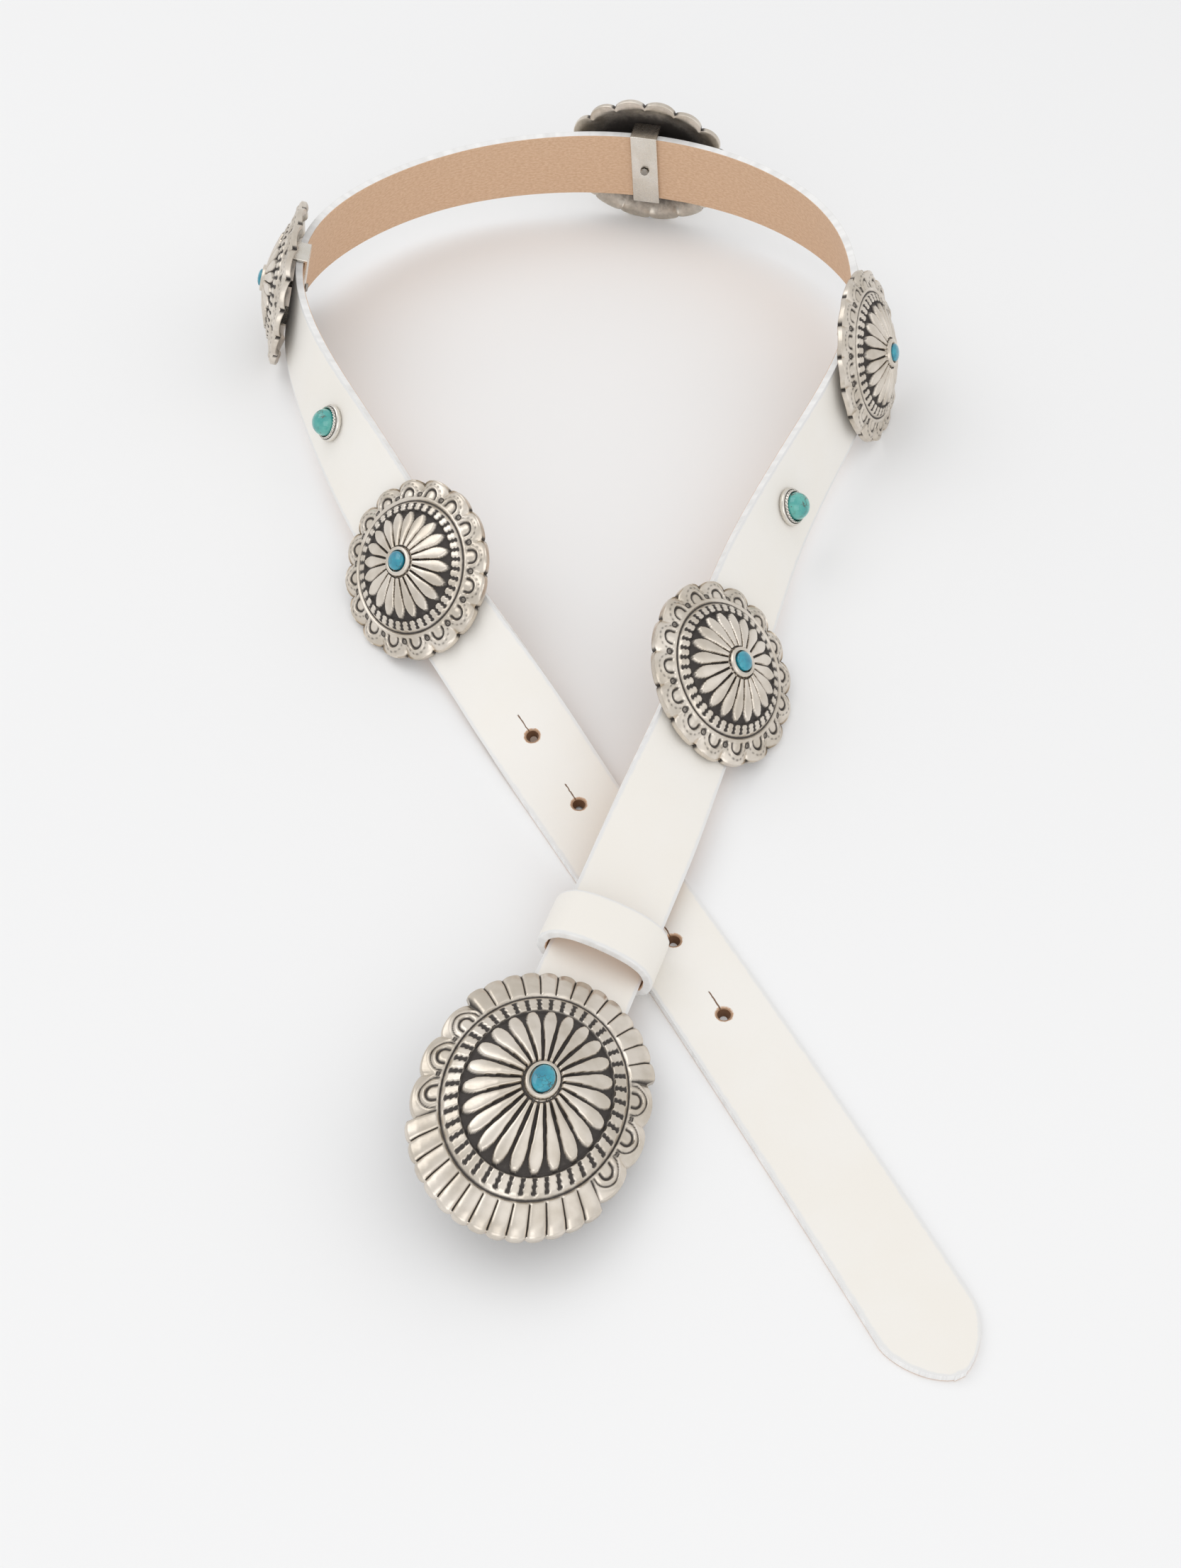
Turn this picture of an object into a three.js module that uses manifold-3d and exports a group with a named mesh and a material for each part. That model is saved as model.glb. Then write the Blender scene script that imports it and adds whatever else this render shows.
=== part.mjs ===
// Concho belt: a white leather strap laid in a loop, its free end crossing under the
// buckle end, with five cast silver conchos, two turquoise studs, a keeper and a buckle.
// Millimetres, +Z up, standing on Z = 0.

import * as THREE from 'three';
import * as BufferGeometryUtils from 'three/addons/utils/BufferGeometryUtils.js';
import Module from 'manifold-3d';

const wasm = await Module();
wasm.setup();

// Sizes
const clearance = 0.3;          // gap kept between neighbouring pieces
const strapWidth = 28.5;
const strapThick = 2.8;
const strapLength = 1111;       // from the tip to the buckle's bar
const strapSteps = 60;          // sections along the bent part of the strap
const tipRound = 16;            // length over which the tip rounds off
const foldLength = 24;          // strap end folded back under itself at the bar

const holeCount = 5;
const holeDiameter = 4.8;
const holeFirst = 123;          // from the tip to the first hole
const holePitch = 29.5;

const conchoLong = 66;          // along the strap
const conchoWide = 57;          // across the strap
const conchoDome = 9.6;         // rim to the foot of the bezel
const conchoEdge = 1.8;         // thickness of the rim
const sheetThick = 1.2;         // wall of the domed plates
const plateGap = 0.5;           // strap's outer face to a plate's rim
const scallops = 16;
const scallopDepth = 1.8;
const lobeHeight = 0.7;
const petals = 20;
const petalDepth = 1.0;
const bandBars = 40;
const barRelief = 0.5;
const bezelHeight = 1.8;
const bezelLong = 10.8;         // outer length of the concho's bezel, along the strap
const bezelWide = 9.6;
const bezelTaper = 0.25;        // how far the bezel draws in towards its top
const bezelSides = 20;
const stoneLong = 6.6;          // the concho's stone, along the strap
const stoneWide = 5.8;
const bezelSeat = 1.1;          // depth of the stone's seat below the bezel's top
const stoneCrown = 0.9;         // how far a stone rises above its bezel

const keeperBarWidth = 10.5;    // silver bar that holds a concho on the strap
const keeperBarThick = 1.2;
const rivetDiameter = 2.4;
const rivetHead = 3.4;
const rivetHeadThick = 0.9;

const buckleLong = 84;
const buckleWide = 65;
const buckleDome = 12.4;
const buckleEdge = 1.9;
const buckleGap = 0.8;          // strap's outer face to the buckle's rim
const buckleForward = 13.5;     // bar to the middle of the buckle
const feathers = 13;            // in each of the two fans
const fanHalfAngle = 60;
const fanCorner = 0.02;         // how far a fan's corners stand proud, share of the half axes
const sideLobes = 3;
const featherDepth = 1.0;
const bucklePetals = 23;
const buckleBars = 44;
const buckleBezelLong = 12.4;
const buckleBezelWide = 10.2;
const buckleStoneLong = 8.6;
const buckleStoneWide = 6.4;
const wireDiameter = 2.4;       // buckle's bar and hook
const hookInset = 18;           // buckle's front end back to the hook's post
const hookDrop = 4.5;           // how far the hook hangs below the rim
const hookReach = 9;

const keeperWidth = 17;         // along the strap
const keeperThick = 2.8;
const keeperRise = 7.0;         // room under the keeper's arch, above the strap
const keeperShare = 0.9585;

const studDiameter = 13;
const studCup = 3.0;
const studWall = 1.7;
const studStoneRise = 4.2;      // stone above the cup's edge
const studFloor = 1.1;

// Where things sit, as shares of the strap's length from the tip.
const conchoShares = [0.2835, 0.4225, 0.5765, 0.717, 0.8615];
const studShares = [0.353, 0.789];

// The strap's route
// share: of the strap's length from the tip; heading: compass of travel, degrees from +X;
// lean: 0 stands on edge, 90 lies flat with its outer face up; rim: lift of the lower edge as a
// share of how far a concho overhangs the strap; over: lift in strap layers that lie beneath.
const ROUTE = [
  { share: 0.000, heading: 116.0, lean: 90, rim: 0.00, over: 0.0 },
  { share: 0.190, heading: 118.5, lean: 90, rim: 0.00, over: 0.0 },
  { share: 0.216, heading: 121.0, lean: 77, rim: 0.02, over: 0.0 },
  { share: 0.236, heading: 122.5, lean: 57, rim: 0.10, over: 0.0 },
  { share: 0.253, heading: 122.0, lean: 48, rim: 0.26, over: 0.0 },
  { share: 0.282, heading: 118.0, lean: 47, rim: 0.54, over: 0.0 },
  { share: 0.312, heading: 115.0, lean: 46, rim: 0.63, over: 0.0 },
  { share: 0.332, heading: 115.0, lean: 40, rim: 0.64, over: 0.0 },
  { share: 0.353, heading: 115.0, lean: 30, rim: 0.68, over: 0.0 },
  { share: 0.373, heading: 112.0, lean: 21, rim: 0.76, over: 0.0 },
  { share: 0.393, heading: 106.5, lean: 15, rim: 0.88, over: 0.0 },
  { share: 0.423, heading: 88.0, lean: 13, rim: 0.95, over: 0.0 },
  { share: 0.454, heading: 55.5, lean: 12, rim: 0.92, over: 0.0 },
  { share: 0.494, heading: 32.0, lean: 13, rim: 0.88, over: 0.0 },
  { share: 0.535, heading: 9.0, lean: 10, rim: 0.86, over: 0.0 },
  { share: 0.575, heading: -13.5, lean: 7, rim: 0.93, over: 0.0 },
  { share: 0.615, heading: -35.5, lean: 10, rim: 1.04, over: 0.0 },
  { share: 0.656, heading: -62.0, lean: 14, rim: 1.12, over: 0.0 },
  { share: 0.686, heading: -86.0, lean: 19, rim: 1.06, over: 0.0 },
  { share: 0.717, heading: -105.0, lean: 21, rim: 0.86, over: 0.0 },
  { share: 0.742, heading: -114.0, lean: 21, rim: 0.70, over: 0.0 },
  { share: 0.767, heading: -115.5, lean: 24, rim: 0.60, over: 0.0 },
  { share: 0.798, heading: -112.5, lean: 33, rim: 0.46, over: 0.0 },
  { share: 0.828, heading: -107.0, lean: 47, rim: 0.46, over: 0.0 },
  { share: 0.858, heading: -107.0, lean: 48, rim: 0.50, over: 0.0 },
  { share: 0.891, heading: -110.0, lean: 50, rim: 0.38, over: 0.2 },
  { share: 0.914, heading: -111.0, lean: 64, rim: 0.10, over: 1.3 },
  { share: 0.934, heading: -110.0, lean: 76, rim: 0.00, over: 1.9 },
  { share: 0.960, heading: -109.0, lean: 76, rim: 0.00, over: 2.1 },
  { share: 1.000, heading: -109.5, lean: 76, rim: 0.00, over: 2.8 },
];

// Half width of the strap's tip: at: share of tipRound, half: share of half the width.
const TIP = [
  { at: 0.00, half: 0.12 },
  { at: 0.06, half: 0.28 },
  { at: 0.22, half: 0.54 },
  { at: 0.45, half: 0.74 },
  { at: 0.70, half: 0.90 },
  { at: 1.00, half: 1.00 },
];

// Rings of a concho, rim to bezel. r: share of the half axes; z: share of the dome;
// wave: which relief rides on the ring; up: its amount as a share of that relief.
const CONCHO_RINGS = [
  { r: 0.870, z: 0.37, wave: 'lobe', up: 1.0 },
  { r: 0.795, z: 0.42, wave: 'flat', up: 0.0 },
  { r: 0.765, z: 0.54, wave: 'flat', up: 0.0 },
  { r: 0.725, z: 0.44, wave: 'flat', up: 0.0 },
  { r: 0.700, z: 0.58, wave: 'bar', up: 1.0 },
  { r: 0.600, z: 0.66, wave: 'bar', up: 1.0 },
  { r: 0.575, z: 0.57, wave: 'flat', up: 0.0 },
  { r: 0.535, z: 0.65, wave: 'tip', up: 0.8 },
  { r: 0.450, z: 0.77, wave: 'petal', up: 1.0 },
  { r: 0.240, z: 0.94, wave: 'tip', up: 0.6 },
];

// Rings of the buckle, ridge to bezel, as above; its feathers and lobes lie outside them.
const BUCKLE_RINGS = [
  { r: 0.775, z: 0.48, wave: 'flat', up: 0.0 },
  { r: 0.752, z: 0.42, wave: 'flat', up: 0.0 },
  { r: 0.728, z: 0.57, wave: 'bar', up: 1.0 },
  { r: 0.632, z: 0.66, wave: 'bar', up: 1.0 },
  { r: 0.608, z: 0.58, wave: 'flat', up: 0.0 },
  { r: 0.575, z: 0.65, wave: 'tip', up: 0.8 },
  { r: 0.500, z: 0.76, wave: 'petal', up: 1.0 },
  { r: 0.230, z: 0.94, wave: 'tip', up: 0.6 },
];

// Hollow back of a plate, rim to middle: r and z as above, less the sheet's thickness;
// n: points of the ring.
const BACK_RINGS = [
  { r: 0.930, z: 0.00, n: 32, sheet: 0 },
  { r: 0.800, z: 0.40, n: 32, sheet: 1 },
  { r: 0.560, z: 0.60, n: 32, sheet: 1 },
  { r: 0.260, z: 0.90, n: 16, sheet: 1 },
];

// Mesh helpers

// A ring is a list of { t, p }: its angle in turns and its point. Rings may differ in count.
function ringSolid(rings, apexFirst, apexLast) {
  const points = [];
  const faces = [];
  const add = (p) => points.push(p) - 1;
  const indexed = rings.map((ring) => ring.map((q) => ({ t: q.t, i: add(q.p) })));
  const first = add(apexFirst);
  const last = add(apexLast);
  const fan = (ring, apex, flip) => ring.forEach((q, k) => {
    const next = ring[(k + 1) % ring.length].i;
    faces.push(flip ? [next, q.i, apex] : [q.i, next, apex]);
  });
  fan(indexed[0], first, true);
  for (let k = 0; k + 1 < indexed.length; k += 1) bridge(indexed[k], indexed[k + 1], faces);
  fan(indexed[indexed.length - 1], last, false);
  return closedGeometry(points, faces);
}

function bridge(a, b, faces) {
  const at = (ring, k) => ring[k % ring.length].t + Math.floor(k / ring.length);
  let i = 0;
  let j = 0;
  while (i < a.length || j < b.length) {
    const p = a[i % a.length].i;
    const q = b[j % b.length].i;
    const stepA = j >= b.length || (i < a.length && at(a, i + 1) <= at(b, j + 1));
    if (stepA) {
      faces.push([p, a[(i + 1) % a.length].i, q]);
      i += 1;
    } else {
      faces.push([p, b[(j + 1) % b.length].i, q]);
      j += 1;
    }
  }
}

function closedGeometry(points, faces) {
  let volume = 0;
  for (const [a, b, c] of faces) volume += points[a].dot(points[b].clone().cross(points[c]));
  const index = faces.flatMap(([a, b, c]) => (volume < 0 ? [a, c, b] : [a, b, c]));
  const geometry = new THREE.BufferGeometry();
  const flat = points.flatMap((p) => [p.x, p.y, p.z]);
  geometry.setAttribute('position', new THREE.Float32BufferAttribute(flat, 3));
  geometry.setIndex(index);
  return geometry;
}

// Skin through equal sections (lists of points), closed at both ends.
function sectionSolid(sections) {
  const points = sections.flat();
  const size = sections[0].length;
  const faces = [];
  for (let s = 0; s + 1 < sections.length; s += 1) {
    for (let k = 0; k < size; k += 1) {
      const a = s * size + k;
      const b = s * size + ((k + 1) % size);
      faces.push([a, b, b + size], [a, b + size, a + size]);
    }
  }
  const end = (sections.length - 1) * size;
  for (let k = 1; k + 1 < size; k += 1) {
    faces.push([0, k + 1, k], [end, end + k, end + k + 1]);
  }
  return closedGeometry(points, faces);
}

function weld(geometry) {
  const bare = geometry.clone();
  bare.deleteAttribute('normal');
  bare.deleteAttribute('uv');
  return BufferGeometryUtils.mergeVertices(bare, 1e-5);
}

function toManifold(geometry) {
  const merged = weld(geometry);
  return new wasm.Manifold(new wasm.Mesh({
    numProp: 3,
    vertProperties: new Float32Array(merged.attributes.position.array),
    triVerts: new Uint32Array(merged.index.array),
  }));
}

function fromManifold(solid) {
  const mesh = solid.getMesh();
  const geometry = new THREE.BufferGeometry();
  geometry.setAttribute('position', new THREE.BufferAttribute(new Float32Array(mesh.vertProperties), 3));
  geometry.setIndex(new THREE.BufferAttribute(new Uint32Array(mesh.triVerts), 1));
  return geometry;
}

// Extrude a shape of the local (across, out) plane by width along the local X, centred.
function extrudeAlong(shape, width) {
  const geometry = new THREE.ExtrudeGeometry(shape, { depth: width, bevelEnabled: false, curveSegments: 4 });
  geometry.translate(0, 0, -width / 2);
  const turn = new THREE.Matrix4().makeBasis(
    new THREE.Vector3(0, 1, 0), new THREE.Vector3(0, 0, 1), new THREE.Vector3(1, 0, 0));
  geometry.applyMatrix4(turn);
  return weld(geometry);
}

// A round wire through points, with a given number of sides.
function wire(points, diameter, sides) {
  const tangents = points.map((p, k) => points[Math.min(k + 1, points.length - 1)].clone()
    .sub(points[Math.max(k - 1, 0)]).normalize());
  const side = tangents[0].clone().cross(tangents[Math.floor(tangents.length / 2)]).normalize();
  return sectionSolid(points.map((p, k) => {
    const across = side.clone().cross(tangents[k]).normalize();
    return Array.from({ length: sides }, (_, m) => {
      const a = (2 * Math.PI * m) / sides;
      return p.clone().addScaledVector(side, Math.cos(a) * diameter / 2)
        .addScaledVector(across, Math.sin(a) * diameter / 2);
    });
  }));
}

function lathe(profile, sides) {
  const geometry = new THREE.LatheGeometry(profile.map(([r, z]) => new THREE.Vector2(r, z)), sides);
  geometry.rotateX(Math.PI / 2);
  return weld(geometry);
}

// Walking the route

const overhang = (conchoWide - strapWidth) / 2;
const layer = strapThick + clearance;
const smoothing = strapWidth / 2;
const FINE = 600;

function lerpRow(share, read) {
  if (share <= ROUTE[0].share) return read(ROUTE[0]);
  for (let k = 1; k < ROUTE.length; k += 1) {
    if (share <= ROUTE[k].share) {
      const a = ROUTE[k - 1];
      const b = ROUTE[k];
      const f = (share - a.share) / (b.share - a.share);
      return read(a) * (1 - f) + read(b) * f;
    }
  }
  return read(ROUTE[ROUTE.length - 1]);
}

function smoothRow(share, read) {
  const reach = smoothing / strapLength;
  return [-1, -0.5, 0, 0.5, 1].reduce((sum, k) => sum + lerpRow(share + k * reach, read) / 5, 0);
}

const rad = THREE.MathUtils.degToRad;

function centreHeight(share) {
  const lean = rad(smoothRow(share, (row) => row.lean));
  const lift = smoothRow(share, (row) => row.rim * overhang + row.over * layer);
  return (strapWidth / 2) * Math.cos(lean) + (strapThick / 2) * Math.sin(lean) + lift;
}

function walkRoute() {
  const step = strapLength / FINE;
  const line = [new THREE.Vector3(0, 0, centreHeight(0))];
  for (let k = 1; k <= FINE; k += 1) {
    const heading = rad(smoothRow((k - 0.5) / FINE, (row) => row.heading));
    const z = centreHeight(k / FINE);
    const last = line[k - 1];
    const rise = z - last.z;
    const run = Math.sqrt(Math.max(step * step - rise * rise, 0));
    line.push(new THREE.Vector3(last.x + run * Math.cos(heading), last.y + run * Math.sin(heading), z));
  }
  return line;
}

const LINE = walkRoute();

// Frame of the strap at a share: point, along (x), down the width (y) and out of its face (z).
function frameAt(share) {
  const at = Math.min(Math.max(share, 0), 1) * FINE;
  const k = Math.min(Math.floor(at), FINE - 1);
  const point = LINE[k].clone().lerp(LINE[k + 1], at - k);
  const a = Math.min(Math.max(k - 2, 0), FINE - 5);
  const along = LINE[a + 5].clone().sub(LINE[a]).normalize();
  const left = new THREE.Vector3(0, 0, 1).cross(along).normalize();
  const up = along.clone().cross(left);
  const lean = rad(smoothRow(share, (row) => row.lean));
  const out = left.clone().multiplyScalar(Math.cos(lean)).addScaledVector(up, Math.sin(lean));
  const down = out.clone().cross(along);
  return { point, along, down, out };
}

// Frame of a flat seat: the strap runs straight for half a length to both sides of the share.
function seatAt({ share, half }) {
  const reach = half / strapLength;
  const from = frameAt(share - reach);
  const to = frameAt(share + reach);
  const point = from.point.clone().lerp(to.point, 0.5);
  const along = to.point.clone().sub(from.point).normalize();
  const out = from.out.clone().add(to.out);
  out.addScaledVector(along, -out.dot(along)).normalize();
  const down = out.clone().cross(along);
  const ends = [from, to].map((end) => ({ point: end.point, down, out }));
  return { point, along, down, out, ends };
}

function place(frame, mesh, dx, dz) {
  const m = new THREE.Matrix4().makeBasis(frame.along, frame.down, frame.out);
  mesh.quaternion.setFromRotationMatrix(m);
  mesh.position.copy(frame.point).addScaledVector(frame.along, dx).addScaledVector(frame.out, dz);
  return mesh;
}

// Strap

const seatMargin = 0.8;         // straight leather past each end of what it carries
const conchoSeats = conchoShares.map((share) => ({ share, half: keeperBarWidth / 2 + seatMargin }));
const studSeats = studShares.map((share) => ({ share, half: studDiameter / 2 + seatMargin }));
const keeperSeat = { share: keeperShare, half: keeperWidth / 2 + seatMargin };
const seats = [...conchoSeats, ...studSeats, keeperSeat];

// Frames of the sections between two shares: an even run, parted by the flat seats.
function sectionFrames(from, to, steps) {
  const step = (to - from) / steps;
  const even = Array.from({ length: steps }, (_, k) => from + step * (k + 1));
  const kept = even.filter((share) => share === to || seats.every((seat) => (
    Math.abs(share - seat.share) > seat.half / strapLength + step * 0.35)));
  const runs = kept.map((share) => ({ share, frame: frameAt(share) }));
  for (const seat of seats) {
    const { ends } = seatAt(seat);
    runs.push({ share: seat.share - seat.half / strapLength, frame: ends[0] });
    runs.push({ share: seat.share + seat.half / strapLength, frame: ends[1] });
  }
  return runs.sort((a, b) => a.share - b.share).map((run) => run.frame);
}

function strapSection(frame, half) {
  const corner = (y, z) => frame.point.clone().addScaledVector(frame.down, y * half)
    .addScaledVector(frame.out, z * strapThick / 2);
  return [corner(-1, -1), corner(1, -1), corner(1, 1), corner(-1, 1)];
}

const eyeRadius = wireDiameter / 2 + clearance + strapThick / 2;   // bar to the strap's middle

function foldFrames() {
  const end = frameAt(1);
  const bar = end.point.clone().addScaledVector(end.out, -eyeRadius);
  const frames = [];
  const turns = 8;
  for (let k = 1; k <= turns; k += 1) {
    const a = (Math.PI * k) / turns;
    const out = end.out.clone().multiplyScalar(Math.cos(a)).addScaledVector(end.along, Math.sin(a));
    const point = bar.clone().addScaledVector(out, eyeRadius);
    frames.push({ point, down: end.down, out });
  }
  const drops = [
    { back: 0.20, drop: 2 * eyeRadius * 0.86 + layer * 0.14 },
    { back: 0.45, drop: layer * 1.25 },
    { back: 0.65, drop: layer },
    { back: 1.00, drop: layer },
  ];
  for (const { back, drop } of drops) {
    const f = frameAt(1 - (back * foldLength) / strapLength);
    frames.push({
      point: f.point.clone().addScaledVector(f.out, -drop),
      down: f.down,
      out: f.out.clone().negate(),
    });
  }
  return frames;
}

function cutter(frame, diameter, sides) {
  const length = strapThick * 3;
  const geometry = new THREE.CylinderGeometry(diameter / 2, diameter / 2, length, sides);
  geometry.rotateX(Math.PI / 2);
  const mesh = place(frame, new THREE.Mesh(geometry), 0, 0);
  mesh.updateMatrix();
  return toManifold(geometry.clone().applyMatrix4(mesh.matrix));
}

function strapGeometry() {
  const sections = [];
  for (const { at, half } of TIP) {
    sections.push(strapSection(frameAt((at * tipRound) / strapLength), (half * strapWidth) / 2));
  }
  const flatEnd = ROUTE[1].share;
  const flatSteps = 4;
  const start = tipRound / strapLength;
  for (let k = 1; k <= flatSteps; k += 1) {
    sections.push(strapSection(frameAt(start + ((flatEnd - start) * k) / flatSteps), strapWidth / 2));
  }
  for (const frame of sectionFrames(flatEnd, 1, strapSteps)) {
    sections.push(strapSection(frame, strapWidth / 2));
  }
  for (const frame of foldFrames()) sections.push(strapSection(frame, strapWidth / 2));
  let solid = toManifold(sectionSolid(sections));
  for (let k = 0; k < holeCount; k += 1) {
    solid = solid.subtract(cutter(frameAt((holeFirst + k * holePitch) / strapLength), holeDiameter, 12));
  }
  for (const seat of [...conchoSeats, ...studSeats]) {
    solid = solid.subtract(cutter(seatAt(seat), rivetDiameter + 2 * clearance, 8));
  }
  return fromManifold(solid);
}

// Domed plates

function ellipsePoint(long, wide, r, t, z) {
  const a = 2 * Math.PI * t;
  return new THREE.Vector3((long / 2) * r * Math.cos(a), (wide / 2) * r * Math.sin(a), z);
}

// Relief of a ring at point k, in -1..1, from how many points one repeat takes.
const WAVES = {
  flat: () => 0,
  lobe: (k) => [-1, 0.35, 1, 0.35][k % 4] / 2,
  bar: (k) => (k % 2 ? 1 : -1) / 2,
  tip: (k) => (k % 2 ? 1 : -1) / 2,
  petal: (k) => (k % 3 ? 0.5 : -1) / 1.5,
};

const RELIEF = { flat: 0, lobe: lobeHeight, bar: barRelief, tip: petalDepth, petal: petalDepth };

// Points of a ring: what its relief takes for one repeat, or two for each petal.
function ringCount(wave, plate) {
  return { lobe: scallops * 4, bar: plate.bars * 2, petal: plate.petals * 3 }[wave] ?? plate.petals * 2;
}

function plateRing(row, plate, n = ringCount(row.wave, plate)) {
  return Array.from({ length: n }, (_, k) => {
    const z = row.z * plate.dome + row.up * RELIEF[row.wave] * WAVES[row.wave](k);
    return { t: k / n, p: ellipsePoint(plate.long, plate.wide, row.r, k / n, z) };
  });
}

function backRings(plate) {
  return BACK_RINGS.map((row) => plateRing({
    r: row.r, z: row.z - (row.sheet * sheetThick) / plate.dome, wave: 'flat', up: 0,
  }, plate, row.n)).reverse();
}

// Height of a plate's hollow back above its rim, at a point of the plate.
function roofAt(long, wide, dome, x, y) {
  const r = Math.hypot(x / (long / 2), y / (wide / 2));
  const height = (row) => row.z * dome - row.sheet * sheetThick;
  const k = BACK_RINGS.findIndex((row) => row.r <= r);
  if (k < 0) return height(BACK_RINGS[BACK_RINGS.length - 1]);
  if (k === 0) return 0;
  const [a, b] = [BACK_RINGS[k - 1], BACK_RINGS[k]];
  const f = (r - a.r) / (b.r - a.r);
  return height(a) * (1 - f) + height(b) * f;
}

function bezelRings(plate) {
  const ring = (long, wide, z) => Array.from({ length: bezelSides }, (_, k) => ({
    t: k / bezelSides,
    p: ellipsePoint(long, wide, 1, k / bezelSides, z),
  }));
  const top = plate.dome + bezelHeight;
  const [innerLong, innerWide] = [plate.stoneLong + 2 * clearance, plate.stoneWide + 2 * clearance];
  return [
    ring(plate.bezelLong, plate.bezelWide, plate.dome),
    ring(plate.bezelLong - 2 * bezelTaper, plate.bezelWide - 2 * bezelTaper, top),
    ring(innerLong, innerWide, top),
    ring(innerLong, innerWide, top - bezelSeat),
  ];
}

function plateGeometry(plate, edgeRings, rings) {
  const all = [...backRings(plate), ...edgeRings, ...rings, ...bezelRings(plate)];
  const backTop = BACK_RINGS[BACK_RINGS.length - 1].z * plate.dome - sheetThick;
  const seat = plate.dome + bezelHeight - bezelSeat;
  return ringSolid(all, new THREE.Vector3(0, 0, backTop + 0.2), new THREE.Vector3(0, 0, seat));
}

function conchoGeometry() {
  const plate = {
    long: conchoLong, wide: conchoWide, dome: conchoDome, bars: bandBars, petals,
    bezelLong, bezelWide, stoneLong, stoneWide,
  };
  const n = scallops * 4;
  const edge = (z, spread) => Array.from({ length: n }, (_, k) => {
    const cut = [1, 0.3, 0, 0.3][k % 4] * scallopDepth * spread;
    const a = 2 * Math.PI * (k / n);
    const p = new THREE.Vector3(
      (conchoLong / 2 - cut) * Math.cos(a), (conchoWide / 2 - cut) * Math.sin(a), z);
    return { t: k / n, p };
  });
  const rows = CONCHO_RINGS.map((row) => plateRing(row, plate));
  return plateGeometry(plate, [edge(0, 1), edge(conchoEdge, 1)], rows);
}

// Outline of the buckle: feather crests and grooves in the two fans, lobes between them.
// out: share of the half axes; up: height against the rim ring, as a share of featherDepth.
const LOBE = [
  { step: 0.00, out: 0.920, up: -0.3 },
  { step: 0.25, out: 0.960, up: 0.1 },
  { step: 0.50, out: 0.975, up: 0.3 },
  { step: 0.75, out: 0.960, up: 0.1 },
];

function buckleOutline() {
  const marks = [];
  const fan = fanHalfAngle / 360;
  for (const middle of [0, 0.5]) {
    for (let k = 0; k <= feathers * 2; k += 1) {
      const t = middle - fan + (k / (feathers * 2)) * 2 * fan;
      const crest = k % 2 === 1;
      const corner = Math.abs(k - feathers) / feathers;
      marks.push({ t, out: (crest ? 1.0 : 0.975) + fanCorner * corner, up: crest ? 0.35 : -0.5 });
    }
    for (let k = 0; k < sideLobes; k += 1) {
      for (const { step, out, up } of LOBE) {
        if (k === 0 && step === 0) continue;
        const t = middle + fan + ((k + step) / sideLobes) * (0.5 - 2 * fan);
        marks.push({ t, out, up });
      }
    }
  }
  return marks.map((m) => ({ ...m, t: (m.t + 1) % 1 })).sort((a, b) => a.t - b.t);
}

function buckleGeometry() {
  const plate = {
    long: buckleLong, wide: buckleWide, dome: buckleDome, bars: buckleBars, petals: bucklePetals,
    bezelLong: buckleBezelLong, bezelWide: buckleBezelWide,
    stoneLong: buckleStoneLong, stoneWide: buckleStoneWide,
  };
  const outline = buckleOutline();
  const ring = (r, z, relief) => outline.map((m) => ({
    t: m.t,
    p: ellipsePoint(buckleLong, buckleWide, r * m.out, m.t, z + relief * m.up * featherDepth),
  }));
  const edges = [
    ring(1, 0, 0),
    ring(1, buckleEdge, 0.5),
    ring(0.87, 0.38 * buckleDome, 1),
  ];
  const rows = BUCKLE_RINGS.map((row) => plateRing(row, plate));
  return plateGeometry(plate, edges, rows);
}

// Stones

function cabochonGeometry(long, wide, girdle, crown) {
  const n = 16;
  const ring = (r, z) => Array.from({ length: n }, (_, k) => ({
    t: k / n, p: ellipsePoint(long, wide, r, k / n, z),
  }));
  const rings = [
    ring(0.97, 0), ring(1, girdle), ring(0.86, girdle + crown * 0.52), ring(0.5, girdle + crown * 0.88),
  ];
  return ringSolid(rings, new THREE.Vector3(0, 0, 0), new THREE.Vector3(0, 0, girdle + crown));
}

// Small metal and the keeper

// A staple round the strap's inner side: its legs rise past the strap's edges into the dome.
function keeperBarGeometry() {
  const inner = strapWidth / 2 + clearance;
  const outer = inner + keeperBarThick;
  const bottom = -(strapThick / 2 + clearance);
  const roof = roofAt(conchoLong, conchoWide, conchoDome, keeperBarWidth / 2, outer);
  const top = strapThick / 2 + plateGap + roof - clearance;
  const shape = new THREE.Shape([
    [-outer, bottom - keeperBarThick], [outer, bottom - keeperBarThick], [outer, top], [inner, top],
    [inner, bottom], [-inner, bottom], [-inner, top], [-outer, top],
  ].map(([x, y]) => new THREE.Vector2(x, y)));
  const hole = new THREE.CylinderGeometry(
    rivetDiameter / 2 + clearance, rivetDiameter / 2 + clearance, strapThick * 6, 8);
  hole.rotateX(Math.PI / 2);
  return fromManifold(toManifold(extrudeAlong(shape, keeperBarWidth)).subtract(toManifold(hole)));
}

function rivetGeometry(headAt, tipAt, headDiameter, headThick) {
  return lathe([
    [0, headAt - headThick], [headDiameter * 0.42, headAt - headThick], [headDiameter / 2, headAt],
    [rivetDiameter / 2, headAt], [rivetDiameter / 2, tipAt], [0, tipAt],
  ], 8);
}

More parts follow.
